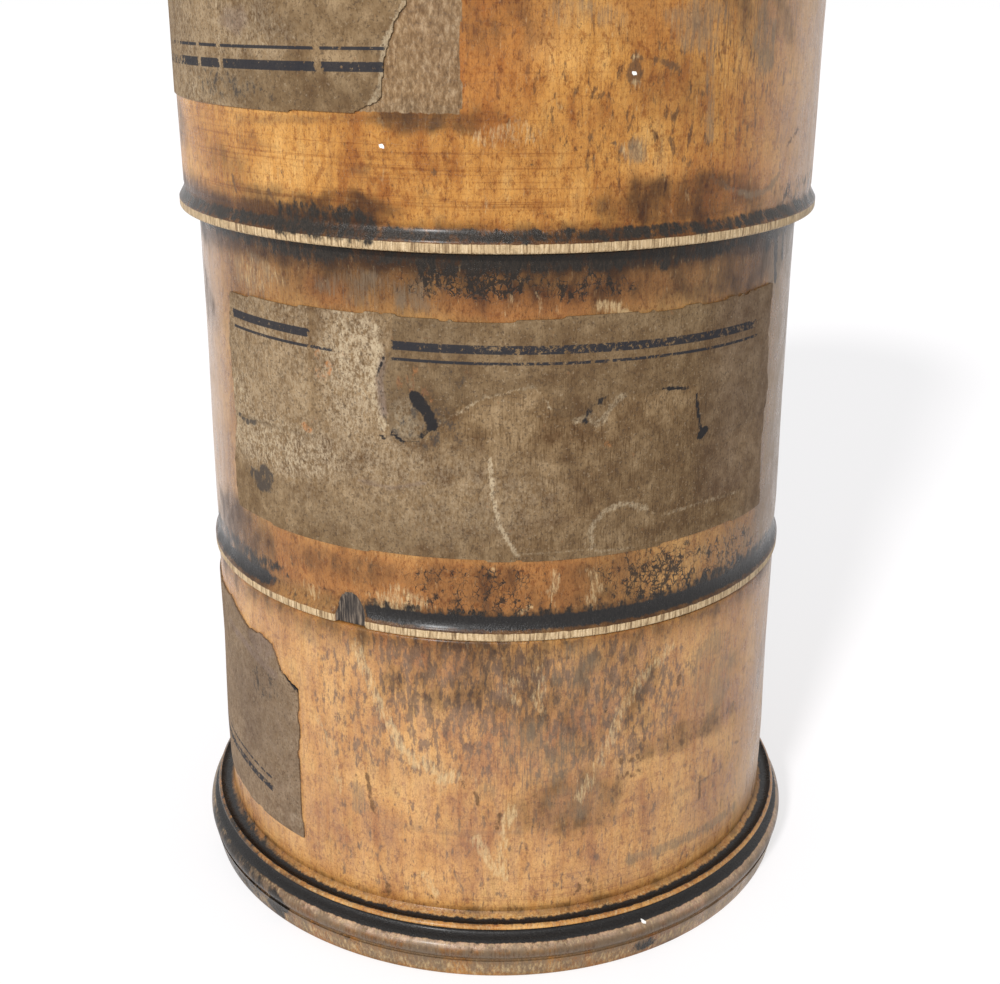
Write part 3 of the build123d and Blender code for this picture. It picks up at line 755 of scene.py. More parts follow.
def middle_tier(finish):
    seam, top = SEAMS[1], SEAMS[2]
    piece, places = upper_outline("middle_tier_wood", MIDDLE_R, 0.5, seam, top)
    # the rim is worn to pale wood, and its cove is black
    places.band("bare", seam - 1, seam + 1.15, 0.12)
    places.band("black", 44.7, 46.3, 0.5, 0.95)
    places.band("soot_and_shadow", 44.7, 47.2, 0.5, 0.6)
    places.band("soot_and_shadow", 45, 48.4, 1.0, 0.75, left=-180, right=-42, ends=3)
    places.band("soot_and_shadow", 45, 47.6, 0.7, 0.8, left=36)
    places.band("brown", 43.3, 44.4, 0.1, 0.4, right=-18)
    # under the label
    places.band("rust", 46.5, 52.8, 0.8, 0.75, left=-45, right=16)
    places.band("crackle", 46, 52.5, 1.2, 0.35, left=-16, right=8, ends=6)
    places.band("crackle", 45.5, 53, 2.5, 0.62, left=20, right=40, ends=14)
    places.band("crackle", 46, 52, 1, 0.4, left=36, right=60, ends=6)
    places.band("smudge", 48.3, 52, 0.8, 0.45, left=-47, right=-14, ends=4)
    places.spot("pale", -17, 47, 7, 4, 0.7)
    places.spot("brown", -28, 50.6, 20, 3, 0.55)
    places.spot("brown", 26, 50.6, 20, 3.4, 0.5)
    places.spot("brown", 20, 48, 10, 3, 0.45)
    places.spot("brown", -9, 48, 8, 3, 0.35)
    places.spot("pale", -34.5, 46.3, 3, 2.4, 0.55)
    places.spot("pale", 9.8, 50, 1.4, 4.6, 0.6)
    places.spot("pale", 17, 48.6, 2.0, 6, 0.62)
    places.spot("pale", -0.8, 51.9, 0.7, 0.6, 1.0)
    places.spot("pale", 5, 47.2, 0.8, 0.7, 0.9)
    places.spot("grey", 50, 49.5, 14, 5, 0.5)
    # over the label
    places.band("soot_and_shadow", 84.6, 86.4, 0.7, 0.72)
    places.band("soot_and_shadow", 84.2, 86.4, 0.8, 0.8, left=-44, right=-25, ends=5)
    places.band("soot_and_shadow", 84.2, 86.4, 0.8, 0.9, left=-14, right=26, ends=6)
    places.band("brown", 79.5, 86.4, 1.5, 0.5, left=-40, ends=8)
    places.spot("grey", -48, 81.5, 12, 5, 0.6)
    places.band("shade", 80.5, 88, 2.4, 0.6, left=-40, ends=12)
    places.band("shade", 80.5, 88, 2.0, 0.45, left=8, right=60, ends=8)
    places.band("soot_and_shadow", 84.3, 86.4, 0.8, 0.75, left=22, right=44, ends=6)
    places.band("shade", 83, 88, 1.6, 0.8)
    places.band("shade", 83.8, 88, 1.2, 1.0, left=-28, right=44, ends=8)
    places.band("shade", 43, 46.8, 1.0, 0.8)
    places.spot("shade", -27, 50, 14, 4, 0.3)
    places.spot("shade", 6, 47.5, 26, 5, 0.35)
    places.spot("shade", 14, 50, 9, 4, 0.35)
    places.spot("shade", -4, 50.5, 14, 4, 0.45)
    places.spot("shade", -58, 50, 16, 8, 0.7)
    places.band("shade", 43, 48, 1.0, 0.25, left=20, ends=8)
    places.band("grey", 46, 86, 2, 0.85, left=56, right=92, ends=5)
    # painted reflection down both sides of the wall
    places.band("pale_tone_and_painted_sheen", 44, 86, 3, 1.0, left=66, right=100, ends=10)
    places.band("pale_tone_and_painted_sheen", 44, 86, 3, 1.0, left=-100, right=-62, ends=10)
    places.spot("grey", -20, 82, 16, 4, 0.55)
    places.spot("shade", 45, 83, 24, 8, 0.6)
    places.spot("rust", -29, 81.3, 6, 3.4, 0.9)
    places.spot("rust", 3, 81, 18, 3.6, 0.95)
    places.spot("rust", 22, 82, 14, 3, 0.5)
    places.spot("crackle", -4, 83.2, 14, 4, 0.55)
    places.spot("crackle", 14, 82.8, 12, 3, 0.4)
    places.spot("pale", 21.5, 79.2, 4.6, 1.5, 1.0)
    places.spot("pale", 19, 80.2, 3.4, 1.6, 0.7)
    places.spot("pale", 2, 81, 1.0, 2.6, 0.4)
    places.spot("pale", 6.5, 81, 1.0, 2.8, 0.45)
    places.spot("pale", -46, 82, 10, 4, 0.4)
    places.line("soot_and_shadow", [(59, 85.5), (60, 82), (60.5, 80)], 1.4, 0.8)
    places.line("soot_and_shadow", [(63, 85.5), (64, 82)], 1.0, 0.7)
    places.line("soot_and_shadow", [(28, 86), (28, 84.5)], 1.6, 0.9)
    places.line("soot_and_shadow", [(55, 86), (56, 84)], 1.6, 0.8)
    places.spot("smudge", -47, 78.7, 4, 2.4, 0.6)
    age_the_back(places, 46, 85, 7)
    worn = soft(-50, -42, places.angle) * soft(-21, -26, places.angle) * soft(47.6, 46.4, places.height)
    for name in ("soot_and_shadow", "black", "shade"):
        places.layer(name)[:] *= 1 - 0.7 * worn
    # a chip out of the rim shows end grain
    across = np.radians(places.angle + 26.5) * MIDDLE_R + 0.5 * torn_way(places.height, 5)
    chip = soft(1.1, 0.9, np.hypot(across / 2.0, np.clip(places.height - 43.3, 0, 9) / 4.0)) * (places.height < 48)
    places.radius -= np.where(places.radius > MIDDLE_R - 0.6, chip * 0.8 * np.clip(places.radius - MIDDLE_R + 0.35, 0, 1), 0)
    for name in ("soot_and_shadow", "black", "bare", "pale", "rust", "crackle", "smudge"):
        places.layer(name)[:] *= 1 - chip
    places.add("fibre", chip)
    places.add("brown", chip)
    places.add("char", chip)
    places.line("rust", [(-33, 43.5), (-28, 43.45), (-23, 43.6)], 0.6, 1.0)
    wear_inside(places, MIDDLE_R)
    out_of_round(places, *MIDDLE_SHAPE)
    places.move()
    places.write()
    piece.data.materials.append(finish)
    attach(piece, "middle")
    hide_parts("middle_tier")


def top_tier(finish):
    seam, top = SEAMS[2], SEAMS[3]
    piece, places = upper_outline("top_tier_wood", TOP_R, 0.35, seam, top)
    places.band("bare", seam - 1, seam + 1.15, 0.12)
    places.band("soot_and_shadow", 87.6, 88.9, 0.35, 0.8)
    places.band("shade", 86, 89.2, 1.2, 0.8)
    places.band("shade", 86, 90.6, 1.6, 0.95, right=-17, ends=4)
    places.band("soot_and_shadow", 87, 90.6, 0.8, 0.72, left=-37, right=-18, ends=2)
    places.spot("shade", -24, 90.6, 12, 3, 0.7)
    places.spot("shade", -42, 90.4, 20, 3.4, 0.5)
    places.spot("shade", 32, 91, 22, 6, 0.66)
    places.spot("rust", 34, 92, 22, 7, 0.5)
    places.spot("rust", -3, 110, 16, 18, 0.8)
    places.spot("shade", -1, 112, 13, 14, 0.35)
    places.spot("drips", 0, 106, 22, 12, 0.6)
    places.spot("rust", 28, 110, 18, 8, 0.5)
    places.spot("shade", 44, 110, 16, 12, 0.4)
    places.spot("fibre", 44, 107, 22, 16, 0.9)
    places.spot("drips", 30, 100, 40, 22, 0.62)
    places.spot("shade", -10, 99.4, 14, 3, 0.6)
    places.band("shade", 88, 90.5, 2.0, 0.5, left=18, right=60, ends=8)
    places.band("smudge", 89.5, 91.4, 0.6, 0.5, left=22, right=34, ends=3)
    places.spot("soot_and_shadow", 66, 90, 22, 4, 0.4)
    places.band("lathe", 88, 98, 3, 0.9, right=10)
    places.band("drips", 88, 130, 4, 0.3)
    # skin of the torn label, and the stain under it
    places.spot("brown", -10, 98.9, 9, 1.7, 0.95)
    places.spot("smudge", -9, 99, 5, 1.2, 0.7)
    places.line("brown", [(-45, 98.2), (-20, 99.3), (-5, 99.6)], 0.8, 0.8)
    skin = (places.angle > -22) & (places.angle < -5.4 + torn_way(places.height, 6)) & (places.height > 99.9)
    places.add("skin", skin * soft(127, 124, places.height))
    places.spot("brown", -41, 96, 7, 0.9, 0.7)
    places.spot("brown", -21, 94.5, 1.6, 1.2, 0.9)
    places.line("smudge", [(-47.6, 92.6), (-46.6, 90.6)], 0.45)
    places.line("smudge", [(-38.6, 91.5), (-37, 90)], 0.5)
    places.spot("smudge", -9, 94.8, 0.9, 1.0)
    places.spot("chalk", -17.2, 96.2, 0.5, 0.55, 1.2)
    places.spot("pale", 0, 98, 6, 2.2, 0.5)
    places.spot("pale", 4, 98.2, 3, 2.6, 0.45)
    places.spot("grey", 20.5, 96.2, 3.6, 3, 0.7)
    places.spot("pale", 20.5, 96.2, 3, 2.4, 0.42)
    places.spot("smudge", 17.6, 96.7, 0.8, 0.6, 1.1)
    places.spot("smudge", 20.7, 103.8, 1.8, 4, 0.75)
    places.spot("pale", 20.1, 105.2, 0.9, 0.8, 0.9)
    places.spot("pale", 20.7, 102.5, 1.2, 1.0, 0.8)
    places.spot("chalk", 20.9, 103.5, 0.5, 0.5, 1.0)
    places.line("smudge", [(23.6, 105), (27.5, 103.9)], 0.9, 0.9)
    places.spot("brown", 8.9, 100.7, 0.8, 0.8, 0.9)
    places.spot("pale", 9, 100.6, 0.4, 0.4, 0.9)
    places.line("smudge", [(29.5, 95.2), (33, 93.5), (38.5, 92)], 0.9, 0.7)
    places.spot("smudge", 37.3, 92.3, 2.2, 1.1, 0.9)
    places.line("grey", [(38.5, 91.8), (45, 90.6), (50, 91), (53, 92.3)], 0.8, 0.8)
    places.line("grey", [(32.5, 109), (33.5, 104), (34.2, 97)], 1.3, 0.7)
    places.spot("grey", 31, 108, 8, 6, 0.7)
    places.spot("grey", 45.5, 106, 3.5, 9, 0.75)
    places.line("grey", [(48, 108), (48, 103.5)], 0.8, 0.9)
    # painted reflection down the right side
    places.band("pale_tone_and_painted_sheen", 87, 130, 3, 0.85, left=52, right=104, ends=16)
    places.line("smudge", [(55, 95.2), (59, 96.6)], 0.5, 0.8)
    places.spot("grey", 12, 109, 8, 3, 0.5)
    # guessed wear above the seen part and round the back
    age_the_back(places, 88, 129, 11)
    places.band("brown", 126, 129.7, 1.5, 0.55)
    places.band("soot_and_shadow", 128.2, 129.7, 0.6, 0.5)
    places.spot("pale", 40, 118, 3, 9, 0.5, lean=20)
    places.spot("grey", 10, 120, 14, 10, 0.5)
    places.spot("smudge", 60, 121, 3, 2, 0.6)
    places.spot("brown", 14, 109, 12, 6, 0.3)
    places.spot("brown", 46, 109, 14, 9, 0.35)
    places.spot("brown", 28, 102, 12, 6, 0.35)
    places.spot("shade", -50, 93.5, 12, 4, 0.35)
    wear_inside(places, TOP_R)
    out_of_round(places, *TOP_SHAPE)
    places.move()
    places.write()
    piece.data.materials.append(finish)
    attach(piece, "top")
    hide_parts("top_tier")


# ---- lid and knob

def lid(finish):
    seam = SEAMS[3]
    low = seam + 0.12
    wall_top = low + 7.6
    piece = start_outline("lid_top_wood", MOUTH_R, low)
    rim_and_cove(TOP_R, 0.35, low, 8)
    line_to(TOP_R, wall_top, 14)
    curve_to((TOP_R - 2.5 + 2.5 * 0.7071, wall_top + 2.1 * 0.7071), (TOP_R - 2.5, wall_top + 2.1), 10)
    line_to(TOP_R - 3.1, wall_top + 2.1, 2)
    line_to(TOP_R - 3.1, wall_top + 2.5, 2)
    curve_to(((TOP_R - 3.1 + 3.28) / 2, wall_top + 2.5 + 1.32), (3.28, wall_top + 4.19), 60)
    line_to(3.28, seam + 7.9, 2)
    line_to(MOUTH_R, seam + 7.9, 8)
    line_to(MOUTH_R, seam + 6.9)
    line_to(RECESS_R, seam + 6.9)
    line_to(RECESS_R, low + 0.8, 16)
    line_to(MOUTH_R, low + 0.8)
    line_to(MOUTH_R, low)
    spin_round(piece, 300, 200)
    places = Places(piece, TOP_R)
    bend_thread(places, RECESS_R, low + 0.8, seam + 6.9, seam)
    for name in WOOD_WEAR_AND_PAINTED_LIGHT:
        places.layer(name)
    places.band("bare", low - 1, low + 1.05, 0.12)
    places.band("soot_and_shadow", low + 1.2, low + 2.4, 0.35, 0.75)
    places.band("brown", low + 2, low + 4.2, 0.8, 0.5)
    places.layer("lathe")[:] = 0.7
    near_edge = soft(32, 35, places.radius) * (places.height > wall_top)
    places.add("pale", near_edge * soft(36.6, 35.6, places.radius) * 0.55)
    dip = soft(35.9, 35.5, places.radius) * soft(34.6, 35.0, places.radius) * (places.height > wall_top + 1.9)
    places.add("soot_and_shadow", dip * 0.9)
    places.add("brown", soft(9, 6, places.radius) * (places.height > wall_top + 2) * 0.8)
    on_top = places.height > wall_top + 1.9
    east, north = places.radius * np.sin(np.radians(places.angle)), -places.radius * np.cos(np.radians(places.angle))
    chance = np.random.default_rng(17)
    for name, count, size, much in (
        ("shade", 7, 11, 0.6), ("rust", 5, 12, 0.6), ("smudge", 14, 3, 0.75), ("pale", 16, 2.6, 0.6), ("grey", 8, 7, 0.6),
        ("brown", 9, 6, 0.6), ("soot_and_shadow", 4, 2.2, 0.7),
    ):
        for _ in range(count):
            reach, turn = 34 * math.sqrt(chance.uniform(0.04, 1)), chance.uniform(0, 2 * math.pi)
            wide, lean = size * chance.uniform(0.6, 1.4), chance.uniform(0, math.pi)
            away_x, away_y = east - reach * math.cos(turn), north - reach * math.sin(turn)
            away_x = away_x + 0.4 * np.sin(north * 1.3 + turn) + 0.25 * np.sin(east * 2.1)
            along = (away_x * math.cos(lean) + away_y * math.sin(lean)) / (wide * 0.8)
            across = (away_y * math.cos(lean) - away_x * math.sin(lean)) / (wide * 0.35)
            places.add(name, much * on_top * soft(1.4, 0.5, np.hypot(along, across)))
    places.add("shade", on_top * soft(29, 34.5, places.radius) * 0.55)
    places.add("shade", on_top * soft(13, 6, places.radius) * 0.7)
    places.add("crackle", on_top * soft(24, 34, places.radius) * 0.42)
    inner = (places.height < seam + 7.95) & (places.radius < TOP_R - 1.4)
    places.layer("inside")[inner] = 1.0
    out_of_round(places, 4.6, (130, 142), (0, 0))
    places.move()
    places.write()
    piece.data.materials.append(finish)
    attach(piece, "lid")
    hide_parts("lid")


def lid_knob(finish):
    seam = SEAMS[3]
    crown = seam + 0.12 + 7.6 + 2.1 + 0.4 + 1.7
    collar = crown + 0.08
    piece = start_outline("lid_knob_wood", 0, seam + 7.98)
    line_to(3.2, seam + 7.98, 3)
    line_to(3.2, collar, 3)
    line_to(5.0, collar, 2)
    curve_to((5.2, collar + 0.4), (5.0, collar + 0.8), 5)
    curve_to((3.5, collar + 1.6), (4.75, collar + 2.4), 10)
    curve_to((5.75, collar + 3.15), (6.0, collar + 4.5), 9)
    curve_to((4.55, collar + 6.1), (0, collar + 6.6), 16)
    spin_round(piece, 64, 64)
    places = Places(piece, 6)
    for name in WOOD_WEAR_AND_PAINTED_LIGHT:
        places.layer(name)
    places.band("soot_and_shadow", collar - 0.3, collar + 0.3, 0.2, 0.7)
    places.band("soot_and_shadow", collar + 1.2, collar + 2.1, 0.4, 0.55)
    places.band("brown", collar, collar + 2.6, 0.6, 0.7)
    places.band("pale", collar + 4.2, collar + 5.4, 0.6, 0.5)
    places.layer("lathe")[:] = 0.5
    places.layer("inside")[places.height < collar - 0.2] = 1.0
    places.write()
    piece.data.materials.append(finish)
    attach(piece, "lid_centre")
    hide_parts("lid_knob")


# ---- paper labels: a sheet cut flat, given its torn layers, and pasted round the wall

LABEL_WIDE = 75.0
LABEL_TALL = 27.3


def cut_sheet(name, torn, cells=0.27):
    """A flat sheet whose outline is torn along the points, in mm from its middle and up from its foot."""
    bpy.ops.object.select_all(action="DESELECT")
    across, up = round((LABEL_WIDE + 1) / cells), round((LABEL_TALL + 1) / cells)
    bpy.ops.mesh.primitive_grid_add(x_subdivisions=across, y_subdivisions=up, size=1)
    sheet = bpy.context.object
    sheet.name = name
    sheet.data.name = name
    bpy.ops.object.mode_set(mode="EDIT")
    bpy.ops.mesh.select_all(action="SELECT")
    bpy.ops.transform.resize(value=((LABEL_WIDE + 1) * MM, (LABEL_TALL + 1) * MM, 1))
    bpy.ops.transform.translate(value=(0, LABEL_TALL / 2 * MM, 0))
    bpy.ops.mesh.select_all(action="DESELECT")
    bpy.ops.object.mode_set(mode="OBJECT")
    faces = sheet.data.polygons
    centres = np.empty(len(faces) * 3)
    faces.foreach_get("center", centres)
    x, y, _ = centres.reshape(-1, 3).T / MM
    x, y = x + torn_way(y, 1), y + 0.6 * torn_way(x, 2)
    kept = np.zeros(len(faces), bool)
    for (x0, y0), (x1, y1) in zip(torn, torn[1:] + torn[:1]):
        crosses = (y0 > y) != (y1 > y)
        kept ^= crosses & (x < x0 + (y - y0) * (x1 - x0) / ((y1 - y0) or 1e-9))
    faces.foreach_set("select", ~kept)
    bpy.ops.object.mode_set(mode="EDIT")
    bpy.ops.mesh.select_mode(type="FACE")
    bpy.ops.mesh.delete(type="FACE")
    bpy.ops.mesh.select_mode(type="VERT")
    bpy.ops.mesh.select_all(action="DESELECT")
    bpy.ops.mesh.select_non_manifold()
    bpy.ops.mesh.vertices_smooth(factor=0.5, repeat=4)
    bpy.ops.mesh.select_all(action="SELECT")
    bpy.ops.mesh.normals_make_consistent(inside=False)
    bpy.ops.object.mode_set(mode="OBJECT")
    thicken = sheet.modifiers.new("paper", "SOLIDIFY")
    thicken.thickness = 0.1 * MM
    thicken.offset = 1.0
    bpy.ops.object.modifier_apply(modifier=thicken.name)
    return sheet


def wrap_sheet(sheet, wall_r, angle, rise):
    """Rolls the flat sheet round the wall; its front then faces out."""
    co = np.empty(len(sheet.data.vertices) * 3)
    sheet.data.vertices.foreach_get("co", co)
    x, y, z = co.reshape(-1, 3).T.copy()
    turn = math.radians(angle) + x / ((wall_r + 0.23) * MM)
    r = (wall_r + 0.03) * MM + np.abs(z)
    co = np.column_stack((r * np.sin(turn), -r * np.cos(turn), y + rise * MM))
    sheet.data.vertices.foreach_set("co", co.ravel())
    sheet.data.update()
    places = Places(sheet, wall_r)
    places.front = places.radius > wall_r + 0.08
    for name in ("fibre", "light", "pale", "brown", "grey", "rust", "ink", "smudge", "soot_and_shadow"):
        places.layer(name)
    return places


def raise_paper(places, amount):
    """Lifts the front of the paper where layers are left, by amount in mm at each point."""
    places.radius += np.where(places.front, amount, 0)


def inside_corners(places, corners):
    """True where a point lies inside corners of angle and height."""
    within = np.zeros(places.count, bool)
    x = places.angle + 1.5 * torn_way(places.height, 3)
    y = places.height + 1.2 * torn_way(places.angle / 1.5, 4)
    for (x0, y0), (x1, y1) in zip(corners, corners[1:] + corners[:1]):
        crosses = (y0 > y) != (y1 > y)
        within ^= crosses & (x < x0 + (y - y0) * (x1 - x0) / ((y1 - y0) or 1e-9))
    return within


def finish_label(places, body, node, finish):
    places.move()
    places.write()
    bpy.ops.object.select_all(action="DESELECT")
    places.piece.select_set(True)
    bpy.context.view_layer.objects.active = places.piece
    bpy.ops.object.mode_set(mode="EDIT")
    bpy.ops.mesh.select_all(action="SELECT")
    bpy.ops.mesh.normals_make_consistent(inside=False)
    bpy.ops.object.mode_set(mode="OBJECT")
    bpy.ops.object.shade_smooth_by_angle(angle=math.radians(50))
    places.piece.data.materials.append(finish)
    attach(places.piece, body)
    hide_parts(node)


def middle_label(finish):
    half = LABEL_WIDE / 2
    torn = [
        (-half + 0.5, 0.4), (-24, 0), (-9, 0.35), (8, 0), (24, 0.3), (half, 0), (half - 0.5, 8), (half, 15),
        (half - 0.8, 21.5), (half - 0.4, 27.2), (24, 27), (9.8, 27.3), (-2, 26.7), (-13, 27.2), (-22, 26.9),
        (-half + 1.2, 26.5), (-half + 0.3, 20), (-half + 1, 12), (-half, 6),
    ]
    sheet = cut_sheet("middle_label_paper", torn)
    places = wrap_sheet(sheet, MIDDLE_R, 1.0, 52.6)
    right_face = inside_corners(places, [
        (-17, 82), (-17.5, 76), (-19.5, 73.5), (-18.5, 70), (-18, 67.5), (-16.5, 66.2), (-14, 66), (-12, 67), (-8, 69),
        (-6, 70.5), (-2, 71.3), (2, 72), (6, 72.5), (8.5, 71.5), (9, 69.5), (13, 68.5), (16, 67.5), (20, 70), (22, 70.8),
        (29, 70.6), (35, 71), (36.5, 69.5), (37.2, 66.5), (38.3, 64.5), (50, 64.2), (60, 65), (70, 66), (70, 82),
    ])
    left_face = inside_corners(places, [(-70, 64.8), (-44, 64.9), (-34, 65.6), (-33, 82), (-70, 82)])
    face = (right_face | left_face).astype(float)
    curl = soft(2.2, 0.2, np.abs(places.angle + 18.2)) * soft(65.5, 68, places.height) * soft(79.5, 76, places.height)
    raise_paper(places, 0.1 * face + 0.22 * curl * right_face)
    places.layer("print_up")[:] = places.height - np.interp(
        places.angle, [-60, -33, -17.3, 20, 56, 70], [76.65, 76.6, 76.45, 76.2, 75.8, 75.6])
    places.layer("print_gap")[:] = -1.45
    places.band("ink", 74, 78, 0.3, 0.95, left=-54, right=-33.2, ends=0.4)
    places.band("ink", 74.4, 75.4, 0.3, 0.7, left=-33, right=-28, ends=1)
    places.band("ink", 74, 78, 0.3, 0.86, left=-17.2, right=-4, ends=0.4)
    places.band("ink", 74, 78, 0.3, 0.68, left=-12, right=34, ends=3)
    places.band("ink", 74, 78, 0.3, 0.74, left=22, right=52, ends=3)
    places.add("light", left_face * 0.62)
    places.spot("light", -25, 73, 9, 18, 1.0)
    places.spot("pale", -24, 75, 6, 9, 0.55)
    places.line("pale", [(-20, 78), (-19.8, 75.5), (-21, 73), (-20.4, 70), (-19, 67.5)], 1.2, 0.8)
    # painted shadow along the curled edge of the torn face
    places.line("soot_and_shadow", [(-18.7, 75), (-19.9, 73), (-19.3, 70.5), (-18.4, 67.6)], 0.5, 0.5)
    places.line("grey", [(-18.9, 74.5), (-19.6, 72.5), (-19, 69)], 0.9, 1.0)
    places.spot("light", -22, 64, 10, 6, 0.7)
    places.spot("light", -20, 58, 30, 8, 0.35)
    places.add("brown", right_face * 0.66)
    places.add("brown", right_face * soft(4, -8, places.angle) * 1.0)
    places.spot("light", -10, 60, 26, 11, 0.42)
    places.spot("light", -44, 63, 26, 8, 1.0)
    places.spot("pale", -46, 62.5, 18, 5, 0.45)
    places.spot("light", -22, 63.5, 16, 6, 0.6)
    places.spot("brown", -22, 55.3, 28, 4, 0.5)
    places.spot("brown", 24, 55.3, 22, 5, 0.5)
    places.spot("brown", 30, 61, 20, 12, 0.5)
    places.band("brown", 52, 54.5, 1.0, 0.5)
    places.spot("rust", -13, 72.5, 5, 4, 0.35)
    places.spot("pale", -15.2, 68.3, 3.0, 3.4, 0.75)
    places.spot("light", -15, 68.5, 4, 5, 0.9)
    # painted shadow around and under the lifted flap
    places.line("soot_and_shadow", [(-13.4, 71.0), (-11.6, 69.6), (-10.6, 68.2)], 1.5, 0.95)
    places.line("soot_and_shadow", [(-10.8, 67.9), (-12.6, 66.7)], 0.7, 0.85)
    places.line("soot_and_shadow", [(-17.6, 66.8), (-15.5, 66.0), (-13.2, 66.2)], 0.4, 0.8)
    places.spot("brown", -14, 72, 7, 8, 0.8)
    places.spot("brown", -48, 56.5, 14, 5, 0.42)
    places.spot("brown", -30, 57, 16, 4, 0.35)
    places.spot("smudge", -9.5, 69.6, 2.6, 2.4, 0.6)
    places.spot("smudge", -12, 67.6, 10, 5, 0.5)
    places.spot("smudge", -10, 72.6, 9, 3, 0.38)
    places.line("pale", [(-13, 66.6), (-8, 69), (-2, 71.3), (6, 72.5), (8.8, 70)], 0.5, 0.6)
    places.line("pale", [(13, 68.4), (15, 69), (17, 67.8), (20, 70.4), (21.6, 70.9)], 0.9, 0.7)
    places.line("soot_and_shadow", [(14.5, 68.2), (15.8, 70.2), (18.5, 70.8)], 0.8, 0.6)
    places.line("soot_and_shadow", [(29, 71), (31, 70.8), (34.5, 70.5)], 0.5, 0.9)
    places.line("soot_and_shadow", [(36.4, 69.5), (37, 67), (37.6, 65.6)], 0.45, 0.8)
    places.spot("soot_and_shadow", 38.3, 65.1, 1.3, 1.1, 1.1)
    places.line("soot_and_shadow", [(-19.6, 66.4), (-19, 66.1)], 0.5, 0.8)
    places.band("fibre", 53, 71.5, 2, 1.0, left=-12, right=42, ends=10)
    places.layer("fibre")[:] = np.maximum(places.layer("fibre"), 0.35)
    places.line("pale", [(-1, 64.5), (-0.8, 61), (0.5, 57), (3.5, 53.5)], 0.55, 1.0)
    places.line("pale", [(16.6, 54), (16, 56), (18.5, 58), (22, 58.6), (26.5, 57.6)], 0.8, 0.75)
    places.line("pale", [(30, 56.4), (38, 56.7), (50, 56.2)], 0.5, 0.6)
    places.spot("brown", 21.5, 56, 6, 4, 0.6)
    places.line("pale", [(4, 53.7), (17, 53.8)], 0.4, 0.6)
    places.line("pale", [(17, 53.4), (25, 53.2)], 0.5, 0.6)
    places.spot("brown", 12, 64, 2.5, 4, 0.4)
    places.spot("rust", 18.6, 65.5, 1.2, 1.0, 0.6)
    places.spot("brown", -10, 57, 20, 5, 0.3)
    places.spot("smudge", -46.8, 58, 5.0, 3.1, 0.95)
    places.line("smudge", [(-54, 64.6), (-51, 64.2), (-48.3, 64.5)], 0.7, 0.9)
    places.line("brown", [(-33, 65), (-45, 64.9), (-56, 64.6)], 0.4, 0.7)
    places.line("grey", [(-24, 61), (-18, 60.6), (-12, 61.6)], 0.4, 0.6)
    places.spot("rust", -30.5, 73, 3.4, 4, 0.4)
    places.spot("rust", -34, 66, 2, 1.2, 0.5)
    places.spot("pale", -53, 68, 5, 6, 0.5)
    places.line("grey", [(-57, 78), (-57.3, 72), (-57, 64)], 0.5, 0.8)
    places.band("grey", 52, 80, 1, 0.5, left=52, ends=8)
    places.band("grey", 56.5, 80, 1, 0.35, left=40, ends=6)
    places.spot("smudge", 43.5, 71.2, 0.9, 0.7, 0.8)
    out_of_round(places, *MIDDLE_SHAPE)
    finish_label(places, "middle", "middle_label", finish)


def bottom_label(finish):
    half = LABEL_WIDE / 2
    torn = [
        (-half, 0.4), (-half + 21, 0), (4, 0.3), (half, 0), (half - 0.4, 11.4), (half, 20.8), (half - 3.2, 22.3),
        (half - 4.7, 25.2), (half - 7.2, 25.9), (half - 10.4, 25.4), (half - 16.2, 27.3), (-6, 27), (-half + 0.5, 27.3), (-half - 0.3, 15.5),
    ]
    sheet = cut_sheet("bottom_label_paper", torn)
    places = wrap_sheet(sheet, BOTTOM_R, -97.0, 11.7)
    raise_paper(places, np.full(places.count, 0.08))
    places.layer("print_up")[:] = places.height - np.interp(places.angle, [-150, -60, -48], [16.6, 17.1, 16.4])
    places.layer("print_gap")[:] = 1.5
    places.band("ink", 14, 19, 0.4, 0.7, right=-48.5, ends=0.5)
    places.layer("light")[:] = 0.42
    places.layer("grey")[:] = 0.45
    places.spot("brown", -52, 27, 16, 16, 0.75)
    places.spot("smudge", -50, 31, 9, 5, 0.5)
    places.line("soot_and_shadow", [(-38.7, 11.8), (-38.9, 22), (-38.7, 32.2)], 0.6, 0.7)
    places.line("soot_and_shadow", [(-38.8, 32.3), (-41.5, 33.3), (-44, 34.3)], 0.8, 0.8)
    places.line("brown", [(-53, 35.6), (-56, 38), (-63, 38.6)], 1.5, 1.0)
    places.spot("brown", -42, 24, 9, 14, 0.5)
    places.spot("brown", -41, 15, 5, 8, 0.5)
    places.spot("grey", -50, 36, 7, 4, 0.9)
    places.line("grey", [(-66, 35), (-58, 34.6), (-46, 33)], 1.4, 1.0)
    places.spot("light", -41, 14.2, 3, 2, 1.0)
    places.line("brown", [(-39, 11.9), (-55, 11.8)], 0.5, 0.8)
    out_of_round(places, *BOTTOM_SHAPE)
    finish_label(places, "bottom", "bottom_label", finish)


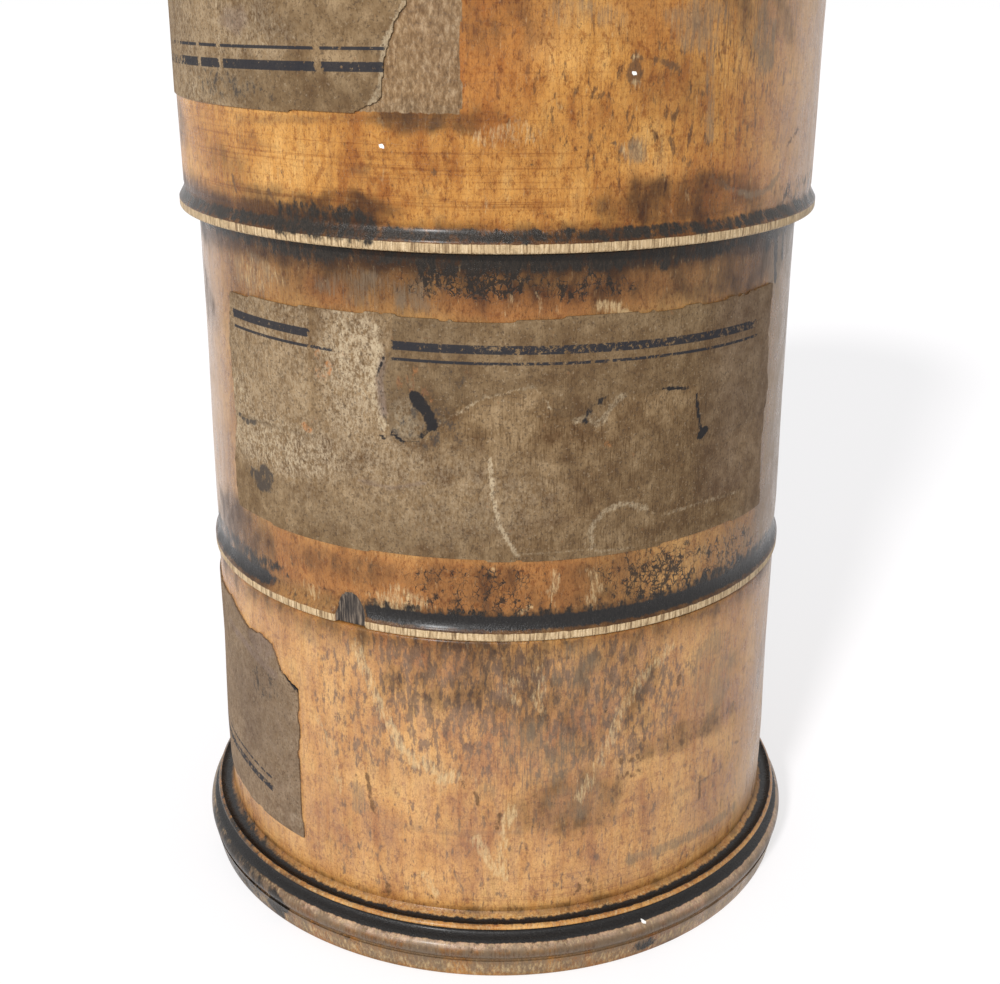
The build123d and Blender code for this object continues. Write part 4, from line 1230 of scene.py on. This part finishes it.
def top_label(finish):
    half = LABEL_WIDE / 2
    torn = [
        (-half, 0.3), (-12, 0), (half - 10.6, 0.2), (half - 7.4, 1.8), (half - 7, 5.3), (half - 5.7, 9.1),
        (half - 4.5, 10.9), (half - 6, 16), (half - 4, 22), (half - 6.5, 26.9), (10, 27.3), (-half + 0.6, 27),
        (-half - 0.3, 14),
    ]
    sheet = cut_sheet("top_label_paper", torn)
    places = wrap_sheet(sheet, TOP_R, -61.7, 99.3)
    raise_paper(places, np.full(places.count, 0.1))
    places.layer("print_up")[:] = places.height - np.interp(places.angle, [-110, -65, -17], [102.8, 103.5, 104.1])
    places.layer("print_gap")[:] = np.interp(places.angle, [-60, -17], [1.75, 1.7])
    places.band("ink", 102, 107, 0.4, 0.95, right=-16.4, ends=0.5)
    for gap in (-48.3, -55.5, -27.2):
        places.layer("ink")[:] *= 1 - 0.9 * soft(0.9, 0.4, np.abs(places.angle - gap + (places.height - 104) * 0.2))
    places.layer("ink")[:] *= 1 - 0.55 * soft(-60, -66, places.angle)
    places.spot("light", -52, 105, 18, 16, 0.5)
    places.spot("light", -66, 104, 18, 18, 0.7)
    places.spot("pale", -55, 101, 8, 5, 0.45)
    places.line("pale", [(-13, 110), (-15, 107.5), (-16.6, 105.8), (-16.8, 102.5), (-19, 100.2)], 0.9, 0.9)
    places.line("pale", [(-48.6, 110), (-48.6, 99)], 0.5, 0.6)
    places.line("soot_and_shadow", [(-20, 99.6), (-32, 99.4), (-45, 98.6)], 0.35, 0.6)
    places.spot("brown", -38, 101.5, 7, 5, 0.6)
    places.spot("smudge", -42.5, 101, 2.6, 1.8, 0.55)
    places.spot("smudge", -50, 101.7, 12, 3.4, 0.55)
    places.spot("smudge", -38, 100.9, 10, 2.4, 0.5)
    places.spot("smudge", -44.5, 108.2, 2.2, 1.6, 0.5)
    places.spot("grey", -44, 108, 4, 3, 0.7)
    places.spot("brown", -30, 108, 12, 4, 0.35)
    places.spot("brown", -15, 104, 9, 9, 0.35)
    places.spot("brown", -33, 102, 26, 5, 0.65)
    places.spot("light", -42, 107, 14, 7, 0.6)
    out_of_round(places, *TOP_SHAPE)
    finish_label(places, "top", "top_label", finish)


# ---- put together

bpy.context.scene.view_settings.view_transform = "Standard"
put_camera()
light_the_room()
hang_lamp("window", around=-24, above=27.5, wide=7, strength=3.0)
lay_floor()

amber = varnished_wood("amber_wood", AMBER_DEEP, AMBER, AMBER_LIGHT, 0.3, BROWN)
grimed = varnished_wood("grimed_wood", (0.19, 0.085, 0.026), (0.33, 0.16, 0.048), (0.52, 0.29, 0.10), 0.05, BROWN)
lid_wood = varnished_wood("lid_wood", (0.33, 0.13, 0.03), (0.47, 0.22, 0.055), (0.64, 0.36, 0.12), 0.25, BROWN)
paper = old_paper()
floor_wood = plain_turned_wood("floor_wood")

bottom_tier(amber)
middle_tier(grimed)
top_tier(amber)
bottom_label(paper)
middle_label(paper)
top_label(paper)
lid(lid_wood)
lid_knob(lid_wood)
for node in ("bottom_floor", "middle_floor", "top_floor"):
    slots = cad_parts[node].data.materials
    slots.clear()
    slots.append(floor_wood)
